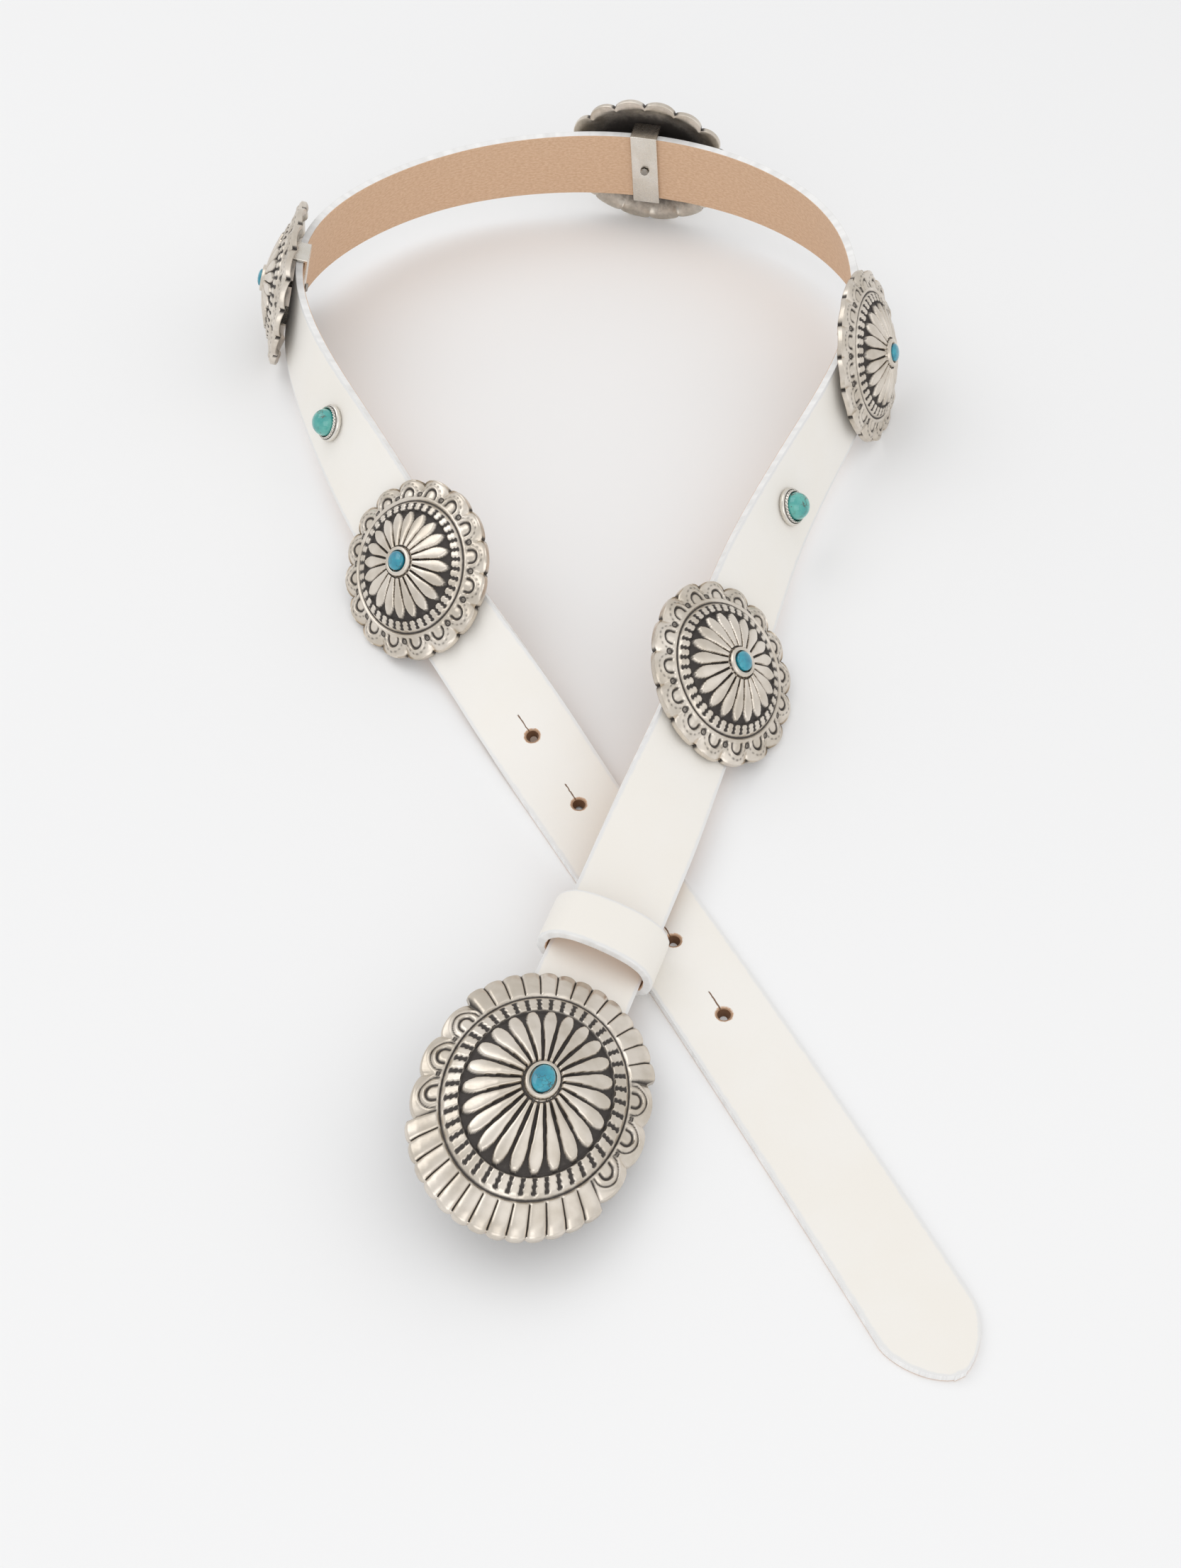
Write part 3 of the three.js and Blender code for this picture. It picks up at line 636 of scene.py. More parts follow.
class Effects:
    """The effects that several finishes share, each a node group."""

    GRAIN = "fine_grain"
    WEAR = "worn_relief"
    MOTTLE = "mottled_colour"

    def start(
        self, name: str, inputs: dict[str, str], outputs: dict[str, str],
    ) -> tuple[Tree, bpy.types.Node, bpy.types.Node]:
        """Makes an empty group.

        Args:
            name: The group's name.
            inputs: Socket type of each input.
            outputs: Socket type of each output.

        Returns:
            The tree, its input node and its output node.
        """
        group = bpy.data.node_groups.new(name, "ShaderNodeTree")
        for label, kind in inputs.items():
            group.interface.new_socket(name=label, in_out="INPUT", socket_type=kind)
        for label, kind in outputs.items():
            group.interface.new_socket(name=label, in_out="OUTPUT", socket_type=kind)
        tree = Tree(group)
        return tree, tree.add("NodeGroupInput"), tree.add("NodeGroupOutput")

    def build(self) -> None:
        """Builds the three effects."""
        number, vector, colour = "NodeSocketFloat", "NodeSocketVector", "NodeSocketColor"
        tree, given, result = self.start(
            self.GRAIN, {"Vector": vector, "Scale": number, "Cells": number}, {"Height": number})
        fine = tree.noise(given.outputs["Vector"], given.outputs["Scale"], 4, 0.6)
        cells = tree.add("ShaderNodeTexVoronoi", {"feature": "SMOOTH_F1"},
                         Vector=given.outputs["Vector"], Scale=given.outputs["Scale"])
        pores = tree.math("MULTIPLY", cells.outputs["Distance"], given.outputs["Cells"])
        tree.feed(result.inputs["Height"], tree.math("ADD", fine, pores))

        tree, given, result = self.start(
            self.WEAR, {"Vector": vector, "Tone": number, "Scale": number, "Patches": number},
            {"Polish": number, "Scuff": number})
        patch = tree.noise(given.outputs["Vector"], given.outputs["Scale"], 5, 0.62)
        shift = tree.math("MULTIPLY", tree.math("SUBTRACT", patch, 0.5), given.outputs["Patches"])
        polish = tree.range(tree.math("ADD", given.outputs["Tone"], shift), 0.12, 0.92)
        lines = tree.noise(tree.stretch(given.outputs["Vector"], (1, 7, 3)), given.outputs["Scale"], 4, 0.7)
        tree.feed(result.inputs["Polish"], polish)
        tree.feed(result.inputs["Scuff"], tree.range(lines, 0.42, 0.72))

        tree, given, result = self.start(
            self.MOTTLE, {"Vector": vector, "Scale": number, "First": colour, "Second": colour},
            {"Color": colour})
        patch = tree.range(tree.noise(given.outputs["Vector"], given.outputs["Scale"], 5, 0.55), 0.33, 0.67)
        mixed = tree.mix(patch, given.outputs["First"], given.outputs["Second"])
        tree.feed(result.inputs["Color"], mixed)


def new_material(name: str) -> tuple[bpy.types.Material, Tree, bpy.types.Node]:
    """An empty material with its Principled shader.

    Args:
        name: The material's name.

    Returns:
        The material, its tree and the shader.
    """
    material = bpy.data.materials.new(name)
    material.use_nodes = True
    tree = Tree(material.node_tree)
    shader = material.node_tree.nodes["Principled BSDF"]
    return material, tree, shader


@dataclass(frozen=True)
class AntiqueSilver:
    """Cast silver, polished where it stands proud and blackened where it is sunk."""

    name: str = "antique_silver"
    bright: Colour = (0.80, 0.735, 0.655, 1)
    warm: Colour = (0.63, 0.565, 0.48, 1)
    black: Colour = (0.06, 0.052, 0.048, 1)
    smooth: float = 0.29
    dull: float = 0.55
    patches: float = 0.42

    def build(self) -> bpy.types.Material:
        """Makes the material, which reads the mesh's tone.

        Returns:
            The material.
        """
        material, tree, shader = new_material(self.name)
        place = tree.place()
        tone = tree.mask("tone")
        wear = tree.group(Effects.WEAR, Vector=place, Tone=tone, Scale=520.0, Patches=self.patches)
        metal = tree.group(Effects.MOTTLE, Vector=place, Scale=95.0, First=self.bright, Second=self.warm)
        colour = tree.mix(wear.outputs["Polish"], self.black, metal.outputs["Color"])
        rough = tree.range(wear.outputs["Polish"], 0, 1, self.dull, self.smooth)
        rough = tree.math("ADD", rough, tree.math("MULTIPLY", wear.outputs["Scuff"], 0.12))
        grain = tree.group(Effects.GRAIN, Vector=place, Scale=1500.0, Cells=0.4)
        dents = tree.noise(place, 330.0, 2)
        normal = tree.bump(grain.outputs["Height"], 0.16, 0.05 * MM)
        normal = tree.bump(dents, 0.45, 0.14 * MM, normal)
        metallic = tree.range(wear.outputs["Polish"], 0, 0.5, 0.55, 1)
        tree.fill(shader, Base_Color=colour, Metallic=metallic, Roughness=rough, Normal=normal)
        return material


@dataclass(frozen=True)
class Turquoise:
    """A polished stone with cloudy colour and a dark matrix."""

    name: str
    first: Colour
    second: Colour
    matrix: Colour
    clouds: float
    specks: float
    gloss: float

    def build(self) -> bpy.types.Material:
        """Makes the material.

        Returns:
            The material.
        """
        material, tree, shader = new_material(self.name)
        place = tree.place()
        body = tree.group(
            Effects.MOTTLE, Vector=place, Scale=self.clouds, First=self.first, Second=self.second)
        bend = tree.add("ShaderNodeTexNoise", None, Vector=place, Scale=self.specks * 1.7, Detail=3.0)
        small = tree.add("ShaderNodeVectorMath", {"operation": "SCALE"}, Scale=0.9 / self.specks)
        tree.feed(small.inputs[0], bend.outputs["Color"])
        warp = tree.add("ShaderNodeVectorMath", {"operation": "ADD"})
        tree.feed(warp.inputs[0], place)
        tree.feed(warp.inputs[1], small.outputs[0])
        vein = tree.add("ShaderNodeTexVoronoi", {"feature": "DISTANCE_TO_EDGE"},
                        Vector=warp.outputs[0], Scale=self.specks)
        thin = tree.range(vein.outputs["Distance"], 0.0, 0.07, 1, 0)
        where = tree.range(tree.noise(place, self.specks * 0.5, 3), 0.46, 0.60)
        speck = tree.range(tree.noise(place, self.specks * 3.2, 2), 0.68, 0.74)
        mask = tree.math("MAXIMUM", tree.math("MULTIPLY", thin, where), speck)
        colour = tree.mix(mask, body.outputs["Color"], self.matrix)
        grain = tree.group(Effects.GRAIN, Vector=place, Scale=900.0, Cells=0.2)
        pits = tree.math("ADD", tree.math("MULTIPLY", grain.outputs["Height"], 0.15),
                         tree.math("MULTIPLY", mask, -0.6))
        tree.fill(
            shader, Base_Color=colour, Roughness=tree.range(mask, 0, 1, self.gloss, 0.5),
            Normal=tree.bump(pits, 0.35, 0.08 * MM), Coat_Weight=0.6, Coat_Roughness=0.05, IOR=1.6,
        )
        return material


@dataclass(frozen=True)
class WhiteLeather:
    """White finished leather with a tan flesh side and painted edges.

    It reads the piece's flat UV map in metres, skin (1 outer face, 0 inner face) and rim, the
    distance from the nearest cut edge in millimetres.
    """

    name: str
    face: Colour = (0.895, 0.868, 0.822, 1)
    face_warm: Colour = (0.885, 0.85, 0.79, 1)
    paint: Colour = (0.80, 0.795, 0.785, 1)
    paint_worn: Colour = (0.93, 0.925, 0.915, 1)
    flesh: Colour = (0.66, 0.43, 0.275, 1)
    flesh_pale: Colour = (0.77, 0.545, 0.375, 1)
    # Painted shade: a near black drawn inside the punched holes and along their slits.
    hole_and_slit_shade: Colour = (0.17, 0.085, 0.042, 1)
    first_hole: float = 0.0
    hole_pitch: float = 1.0
    hole_count: int = 0

    def holes(self, tree: Tree, flat: bpy.types.NodeSocket) -> tuple[object, object]:
        """Masks of the frayed ring round each hole and of the slit beyond it.

        Args:
            tree: The material's tree.
            flat: The flat UV map.

        Returns:
            The ring's mask and the slit's mask.
        """
        axes = tree.add("ShaderNodeSeparateXYZ", None, Vector=flat)
        along, across = axes.outputs[0], axes.outputs[1]
        first = self.first_hole - self.hole_pitch / 2
        last = first + self.hole_pitch * self.hole_count
        inside = tree.math("MULTIPLY", tree.math("GREATER_THAN", along, first),
                           tree.math("LESS_THAN", along, last))
        wrapped = tree.math("MODULO", tree.math("SUBTRACT", along, first), self.hole_pitch)
        offset = tree.math("SUBTRACT", wrapped, self.hole_pitch / 2)
        square = tree.math("ADD", tree.math("POWER", tree.math("ABSOLUTE", offset), 2.0),
                           tree.math("POWER", tree.math("ABSOLUTE", across), 2.0))
        distance = tree.math("SQRT", square)
        frayed = tree.math("ADD", distance, tree.fray(flat, 1100.0, 3, 1.1 * MM))
        ring = tree.range(frayed, 2.4 * MM, 2.9 * MM, 1, 0)
        wobble = tree.math("ADD", across, tree.fray(flat, 500.0, 2, 0.7 * MM))
        thin = tree.range(tree.math("ABSOLUTE", wobble), 0.1 * MM, 0.32 * MM, 1, 0)
        reach = tree.math("MULTIPLY", tree.math("GREATER_THAN", offset, 0.0),
                          tree.range(offset, 8.5 * MM, 9.2 * MM, 1, 0))
        slit = tree.math("MULTIPLY", thin, reach)
        return tree.math("MULTIPLY", ring, inside), tree.math("MULTIPLY", slit, inside)

    def build(self) -> bpy.types.Material:
        """Makes the material.

        Returns:
            The material.
        """
        material, tree, shader = new_material(self.name)
        place = tree.place()
        flat = tree.add("ShaderNodeUVMap", {"uv_map": "flat"}).outputs[0]
        skin, rim = tree.mask("skin"), tree.mask("rim")
        face = tree.group(Effects.MOTTLE, Vector=place, Scale=26.0, First=self.face, Second=self.face_warm)
        fibre = tree.noise(tree.stretch(flat, (1, 2.2, 1)), 620.0, 6, 0.7)
        flesh = tree.mix(tree.range(fibre, 0.35, 0.66), self.flesh, self.flesh_pale)
        ragged = tree.fray(flat, 420.0, 3, 0.9)
        paint = tree.range(tree.math("ADD", rim, ragged), 0.55, 1.35, 1, 0)
        colour = tree.mix(paint, face.outputs["Color"], self.paint)
        side = tree.range(skin, 0.985, 0.90)
        worn = tree.range(tree.noise(tree.stretch(flat, (1, 5, 1)), 240.0, 4), 0.3, 0.7)
        wall = tree.mix(worn, self.paint, self.paint_worn)
        colour = tree.mix(side, colour, wall)
        low = tree.range(tree.math("ADD", skin, tree.math("MULTIPLY", ragged, 0.06)), 0.12, 0.04)
        colour = tree.mix(low, colour, self.flesh)
        inner = tree.range(skin, 0.05, 0.012)
        colour = tree.mix(inner, colour, flesh)
        rough = tree.range(skin, 0.05, 0.5, 0.9, 0.46)
        grain = tree.group(Effects.GRAIN, Vector=place, Scale=900.0, Cells=0.7)
        waves = tree.noise(place, 55.0, 2)
        height = tree.math("ADD", grain.outputs["Height"], tree.math("MULTIPLY", waves, 1.5))
        nap = tree.math("MULTIPLY", fibre, tree.range(skin, 0.05, 0.012, 0, 5))
        height = tree.math("ADD", height, nap)
        if self.hole_count:
            ring, slit = self.holes(tree, flat)
            inside = tree.range(ring, 0.35, 0.8)
            # The tan ring round each hole is the leather's own cut edge. Below the face the hole's wall turns
            # near black, and each slit is drawn as a dark line: both are painted shade.
            deep = tree.math("MULTIPLY", inside, tree.range(skin, 0.93, 0.80))
            colour = tree.mix(ring, colour, self.flesh)
            colour = tree.mix(deep, colour, self.hole_and_slit_shade)
            colour = tree.mix(slit, colour, self.hole_and_slit_shade)
            height = tree.math("SUBTRACT", height, tree.math("MULTIPLY", slit, 4.0))
        tree.fill(
            shader, Base_Color=colour, Roughness=rough, Normal=tree.bump(height, 0.25, 0.09 * MM),
            Sheen_Weight=0.08, Sheen_Roughness=0.4,
        )
        return material


@dataclass(frozen=True)
class Finishes:
    """Every material of the belt, built once."""

    plate: bpy.types.Material
    pale: bpy.types.Material
    strap: bpy.types.Material
    keeper: bpy.types.Material
    stone: bpy.types.Material
    green: bpy.types.Material

    @classmethod
    def build(cls, holes: tuple[float, float, int]) -> "Finishes":
        """Builds the shared effects and the materials.

        Args:
            holes: First hole from the tip, pitch and count of the strap's holes.

        Returns:
            The finishes.
        """
        Effects().build()
        return cls(
            plate=AntiqueSilver().build(),
            pale=AntiqueSilver("pale_silver", (0.82, 0.79, 0.74, 1), (0.74, 0.70, 0.63, 1),
                               smooth=0.22, patches=0.25).build(),
            strap=WhiteLeather("white_strap_leather", first_hole=holes[0], hole_pitch=holes[1],
                               hole_count=holes[2]).build(),
            keeper=WhiteLeather("white_keeper_leather").build(),
            stone=Turquoise("turquoise", (0.006, 0.22, 0.33, 1), (0.02, 0.34, 0.44, 1),
                            (0.01, 0.05, 0.06, 1), 260.0, 700.0, 0.12).build(),
            green=Turquoise("green_turquoise", (0.035, 0.33, 0.31, 1), (0.11, 0.46, 0.40, 1),
                            (0.06, 0.045, 0.03, 1), 210.0, 330.0, 0.08).build(),
        )


# Leather

@dataclass
class LeatherStrip:
    """A flat strip with rounded edges, cut before it is bent."""

    length: float
    width: float
    thick: float
    edge_round: float = 0.75 * MM
    cells_across: int = 12
    cell: float = 2.4 * MM

    def lines(self) -> Array:
        """Where the strip's cross lines lie along it."""
        return np.linspace(0, self.length, max(int(self.length / self.cell), 8) + 1)

    def half_width(self, along: Array) -> Array:
        """Half the strip's width at a distance from its start."""
        return np.full_like(along, self.width / 2)

    def cut(self) -> bmesh.types.BMesh:
        """Cuts the strip out: a grid, its outline, its wall and its rounded edges.

        Returns:
            The flat strip.
        """
        lines = self.lines()
        bm = bmesh.new()
        bmesh.ops.create_grid(bm, x_segments=len(lines) - 1, y_segments=self.cells_across, size=0.5)
        spots = np.array([vert.co[:2] for vert in bm.verts]) + 0.5
        along = np.interp(spots[:, 0] * (len(lines) - 1), np.arange(len(lines)), lines)
        across = (spots[:, 1] * 2 - 1) * self.half_width(along)
        for vert, x, y in zip(bm.verts, along, across):
            vert.co = (x, y, 0)
        bmesh.ops.solidify(bm, geom=list(bm.faces), thickness=self.thick)
        middle = sum(vert.co.z for vert in bm.verts) / len(bm.verts)
        bmesh.ops.translate(bm, verts=bm.verts, vec=(0, 0, -middle))
        bmesh.ops.recalc_face_normals(bm, faces=bm.faces)
        rims = [edge for edge in bm.edges if edge.calc_face_angle(0) > math.radians(60)]
        bmesh.ops.bevel(
            bm, geom=rims, offset=self.edge_round, offset_type="OFFSET", segments=4, profile=0.5,
            affect="EDGES", clamp_overlap=True, material=-1,
        )
        return bm

    def mark(self, mesh: bpy.types.Mesh) -> Array:
        """Stores the flat map, skin and rim on the flat mesh.

        Args:
            mesh: The strip, still flat.

        Returns:
            Its flat points.
        """
        flat = points_of(mesh)
        set_uv(mesh, flat[:, :2])
        set_mask(mesh, "skin", flat[:, 2] / self.thick + 0.5)
        side = self.half_width(flat[:, 0]) - np.abs(flat[:, 1])
        rim = np.minimum(side, np.minimum(flat[:, 0], self.length - flat[:, 0]))
        set_mask(mesh, "rim", rim / MM)
        return flat


@dataclass
class StrapStrip(LeatherStrip):
    """The belt's strap before it is bent, with its round tip and its holes."""

    tip_round: float = 16 * MM
    tip_blunt: float = 0.12
    hole_first: float = 123 * MM
    hole_pitch: float = 29.5 * MM
    hole_count: int = 5
    hole_width: float = 4.8 * MM
    # Cross lines in the tip and behind it.
    tip_lines: int = 12
    body_lines: int = 456

    def lines(self) -> Array:
        """Close lines at the tip, then even ones.

        Returns:
            Where the lines lie along the strap.
        """
        tip = self.tip_round * np.linspace(0, 1, self.tip_lines + 1) ** 1.6
        rest = np.linspace(self.tip_round, self.length, self.body_lines)
        return np.concatenate([tip[:-1], rest])

    def half_width(self, along: Array) -> Array:
        """The rounded tip, then the full width.

        Args:
            along: Distances from the tip.

        Returns:
            Half the width there.
        """
        u = np.clip(along / self.tip_round, 0, 1)
        share = np.maximum((1 - (1 - u) ** 1.5) ** 0.6, self.tip_blunt)
        return share * self.width / 2

    def punch(self) -> bpy.types.Object:
        """The tool that cuts the holes, each with a worn rim.

        Returns:
            The tool, in the scene.
        """
        bm = bmesh.new()
        radius = self.hole_width / 2
        # Lower and upper radius as shares of the hole's, depth and height of each cone.
        cones = ((0.25, 1.1, self.thick * 2, 0), (0.95, 1.28, 0.8 * MM, self.thick / 2))
        for k in range(self.hole_count):
            for low, high, depth, height in cones:
                spot = Matrix.Translation((self.hole_first + k * self.hole_pitch, 0, height))
                bmesh.ops.create_cone(
                    bm, cap_ends=True, segments=40, radius1=radius * low, radius2=radius * high,
                    depth=depth, matrix=spot,
                )
        return add_object("punch", mesh_of("punch", bm))

    def punched(self) -> bpy.types.Mesh:
        """The flat strap with its holes cut through.

        Returns:
            Its mesh.
        """
        blank = add_object("blank", mesh_of("blank", self.cut()))
        tool = self.punch()
        cut = blank.modifiers.new("holes", "BOOLEAN")
        cut.operation, cut.solver, cut.use_self, cut.object = "DIFFERENCE", "EXACT", True, tool
        ready = blank.evaluated_get(bpy.context.evaluated_depsgraph_get())
        mesh = bpy.data.meshes.new_from_object(ready)
        for spare in (blank, tool):
            bpy.data.objects.remove(spare)
        bm = bmesh.new()
        bm.from_mesh(mesh)
        wide = [face for face in bm.faces if len(face.verts) > 4]
        bmesh.ops.triangulate(bm, faces=wide, ngon_method="BEAUTY")
        bm.to_mesh(mesh)
        bm.free()
        return mesh


@dataclass
class Strap:
    """The belt's strap, from its free tip to the fold behind the buckle."""

    route: Route

    def __post_init__(self) -> None:
        """Takes its strip's sizes from the route."""
        self.strip = StrapStrip(self.route.cut_length, self.route.width, self.route.thick)

    def build(self, finishes: Finishes) -> None:
        """Cuts, punches and bends the strap.

        Args:
            finishes: The belt's finishes.
        """
        mesh = self.strip.punched()
        mesh.name = "strap_leather"
        set_points(mesh, self.route.lay(self.strip.mark(mesh)))
        piece = add_piece(
            "strap_leather", mesh, finishes.strap, ["strap"], LEATHER_SHARP)


@dataclass
class Keeper:
    """The leather loop that stands arched over the strap behind the buckle."""

    route: Route
    width: float = 17 * MM
    thick: float = 2.8 * MM
    rise: float = 7.0 * MM
    share: float = 0.9585
    margin: float = 0.8 * MM
    seam: float = 0.2 * MM
    # Points round the loop, and how many of them to each side round off its corners.
    points: int = 400
    soft: int = 9
    # Share of the half opening and share of the height, from the foot to the crown.
    arch: tuple[tuple[float, float], ...] = (
        (1.00, 0.00), (1.03, 0.28), (1.00, 0.52), (0.86, 0.76), (0.62, 0.91), (0.32, 0.98), (0.00, 1.00),
    )

    def loop(self) -> Array:
        """The middle line of the loop's leather, across and out, once round from its foot.

        Returns:
            The line's points, closed.
        """
        half = self.route.width / 2 + self.route.clearance
        low = -(self.route.thick / 2 + self.route.clearance)
        high = self.route.thick / 2 + self.rise
        right = np.array([(side * half, low + up * (high - low)) for side, up in self.arch])
        left = right[-2::-1] * (-1, 1)
        ring = np.concatenate([[(0, low)], right, left, [(0, low)]])
        spots = run_along(ring)
        line = read_rows(np.linspace(0, spots[-1], self.points + 1)[:-1], spots, ring)
        window = np.hanning(2 * self.soft + 1)
        window /= window.sum()
        padded = np.concatenate([line[-self.soft:], line, line[:self.soft]])
        line = np.stack([np.convolve(padded[:, k], window, "valid") for k in range(2)], axis=1)
        line = np.concatenate([line, line[:1]])
        return line + self.sides(line) * self.thick / 2

    @staticmethod
    def sides(line: Array) -> Array:
        """Outward directions of a closed line that runs anticlockwise.

        Args:
            line: Its points.

        Returns:
            A direction for each point.
        """
        ahead = np.roll(line[:-1], -1, axis=0) - np.roll(line[:-1], 1, axis=0)
        ahead /= np.linalg.norm(ahead, axis=1, keepdims=True)
        out = np.stack([ahead[:, 1], -ahead[:, 0]], axis=1)
        return np.concatenate([out, out[:1]])

    def build(self, finishes: Finishes) -> None:
        """Cuts the loop's strip and closes it round the strap.

        Args:
            finishes: The belt's finishes.
        """
        line = self.loop()
        spots = run_along(line)
        length = float(spots[-1])
        strip = LeatherStrip(length - self.seam, self.width, self.thick, cells_across=8)
        mesh = mesh_of("keeper_leather", strip.cut())
        flat = strip.mark(mesh)
        around = read_rows(flat[:, 0], spots, line)
        around += read_rows(flat[:, 0], spots, self.sides(line)) * flat[:, 2:3]
        seat = self.route.seat(self.share, self.width / 2 + self.margin)
        seat_points(mesh, np.column_stack([flat[:, 1], around]), seat)
        piece = add_piece(
            "keeper_leather", mesh, finishes.keeper, ["keeper_loop"], LEATHER_SHARP)


# Embossed plates

@dataclass
class Relief:
    """Height in metres and tone, 1 polished and 0 blackened, of many points of a plate."""

    height: Array
    tone: Array

    @classmethod
    def flat(cls, like: Array) -> "Relief":
        """No relief, fully polished."""
        return cls(np.zeros_like(like), np.ones_like(like))

    def lift(self, mask: Array, rise: float) -> None:
        """Raises what the mask covers."""
        self.height = self.height + mask * rise

    def sink(self, mask: Array, depth: float, black: float = 0.9) -> None:
        """Lowers what the mask covers and blackens it."""
        self.height = self.height - mask * depth
        self.tone = np.minimum(self.tone, 1 - black * np.clip(mask, 0, 1))


@dataclass
class Plate:
    """A domed oval casting with a bezel in the middle, worn with its long side along the strap."""

    long: float
    wide: float
    dome: float
    edge: float
    bezel_long: float
    bezel_wide: float
    petals: int
    bars: int
    steps: int
    stone_long: float
    stone_wide: float
    bezel_rise: float = 1.8 * MM
    bezel_clearance: float = 0.15 * MM
    seat_depth: float = 1.1 * MM
    stone_gap: float = 0.3 * MM
    stone_crown: float = 1.3 * MM
    sheet: float = 1.2 * MM
    # Radius and height of the plain dome, as shares.
    profile: tuple[tuple[float, float], ...] = (
        (0.00, 1.00), (0.10, 0.995), (0.17, 0.975), (0.24, 0.935), (0.35, 0.86), (0.45, 0.765), (0.54, 0.665),
        (0.62, 0.57), (0.70, 0.475), (0.76, 0.41), (0.80, 0.375), (0.87, 0.315), (0.93, 0.26), (1.00, 0.18),
    )
    rows_out: int = 94

    @property
    def mean(self) -> float:
        """Mean half axis."""
        return (self.long + self.wide) / 4

    @property
    def bezel(self) -> float:
        """Outer radius of the bezel as a share of the plate."""
        return (self.bezel_long / self.long + self.bezel_wide / self.wide) / 2

    @property
    def bezel_wall(self) -> float:
        """Mean thickness of the bezel's wall."""
        inner = self.stone_long + self.stone_wide + 4 * self.bezel_clearance
        return (self.bezel_long + self.bezel_wide - inner) / 4

    def rows(self) -> list[tuple[float, float]]:
        """Radius and layer of the profile's points: layer 1 in front, 0 behind.

        Returns:
            The points.
        """
        wall = self.bezel_wall / self.mean
        inner = self.bezel - wall
        shares = (-0.35, 0.0, 0.06, 0.14, 0.26, 0.42, 0.58, 0.74, 0.86, 0.94, 1.0)
        front = [0.0, inner * 0.5, *(inner + share * wall for share in shares)]
        front += list(np.linspace(self.bezel + 0.006, 0.992, self.rows_out))
        rim = [(0.999, 0.93), (1.0, 0.8), (1.0, 0.5), (1.0, 0.2), (0.998, 0.06), (0.99, 0.0), (0.975, 0.0)]
        inwards = (0.955, 0.93, 0.90, 0.86, 0.80, 0.72, 0.64, 0.56, 0.46, 0.36, 0.26, 0.13, 0)
        back = [(share, 0.0) for share in inwards]
        return [(share, 1.0) for share in front] + rim + back

    def hull(self, radius: Array) -> Array:
        """Height of the plain dome in front."""
        shares = [row[0] for row in self.profile]
        return self.dome * np.interp(radius, shares, [row[1] for row in self.profile])

    def hollow(self, radius: Array) -> Array:
        """Height of the hollow behind."""
        inside = self.hull(radius) - self.sheet - 0.45 * MM
        return np.maximum(inside, 0) * step(0.955, 0.80, radius)

    def setting(self, radius: Array) -> Array:
        """Height that the bezel and its seat add to the dome.

        Args:
            radius: Radius as a share.

        Returns:
            The height.
        """
        wall = self.bezel_wall / self.mean
        place = (radius - (self.bezel - wall)) / wall
        ring = step(0.0, 0.2, place) * step(1.02, 0.84, place)
        ring *= 1 - 0.10 * np.abs(2 * place - 1) ** 3
        floor = (self.bezel_rise - self.seat_depth) * step(0.1, -0.05, place)
        return ring * self.bezel_rise + floor

    def middle_stretch(self, radius: Array, layer: Array) -> Array:
        """Scale along and across that gives the bezel and its seat their own ovals.

        Args:
            radius: Radius as a share.
            layer: 1 in front, 0 behind.

        Returns:
            The two scales of each point.
        """
        wall = self.bezel_wall / self.mean
        inner = self.bezel - wall
        seat = np.array([
            (self.stone_long / 2 + self.bezel_clearance) / (inner * self.long / 2),
            (self.stone_wide / 2 + self.bezel_clearance) / (inner * self.wide / 2),
        ])
        rim = np.array([
            self.bezel_long / (self.bezel * self.long), self.bezel_wide / (self.bezel * self.wide),
        ])
        near = np.clip((radius - inner) / wall, 0, 1)[:, None]
        scale = seat * (1 - near) + rim * near
        fade = (step(self.bezel + 0.12, self.bezel, radius) * (layer > 0.999))[:, None]
        return 1 + (scale - 1) * fade

    def outline(self, turn: Array) -> Array:
        """How far the rim reaches, as a share of the half axes."""
        raise NotImplementedError

    def rim_wave(self, radius: Array, turn: Array) -> Array:
        """Height by which the rim rises and falls, front and back alike."""
        return np.zeros_like(radius)

    def emboss(self, radius: Array, turn: Array) -> Relief:
        """The plate's pattern."""
        raise NotImplementedError

    def add_petals(
        self, relief: Relief, radius: Array, turn: Array, widths: Sequence[tuple[float, float]],
        rise: float, notches: float,
    ) -> None:
        """Raises a ring of petals out of a blackened ground.

        Args:
            relief: What to add to.
            radius: Radius of the points, as a share.
            turn: Their turn round the plate.
            widths: Radius and half width of a petal, as a share of its sector.
            rise: How far a petal stands over the ground.
            notches: How deep its edges are notched, as a share of its sector.
        """
        inner, outer = widths[0][0], widths[-1][0]
        half = np.interp(radius, [row[0] for row in widths], [row[1] for row in widths])
        half = half - notches * (0.5 + 0.5 * np.sin(radius * self.mean / (0.95 * MM) * 2 * math.pi))
        side = sector(turn, self.petals)
        zone = band(inner - 0.01, outer + 0.03, 0.02, radius)
        petal = step(half + 0.05, half - 0.07, side) * step(outer, outer - 0.012, radius)
        crown = petal * np.sqrt(np.clip(1 - (side / np.maximum(half, 0.05)) ** 2, 0, 1))
        tips = step(inner + 0.6 * (outer - inner), outer, radius)
        relief.sink(zone * (1 - petal), 0.35 * MM, 0.97)
        relief.tone = np.minimum(relief.tone + 0.10 * tips * zone * (1 - petal), 1)
        relief.lift(zone * (0.6 * petal + 0.4 * crown), rise)

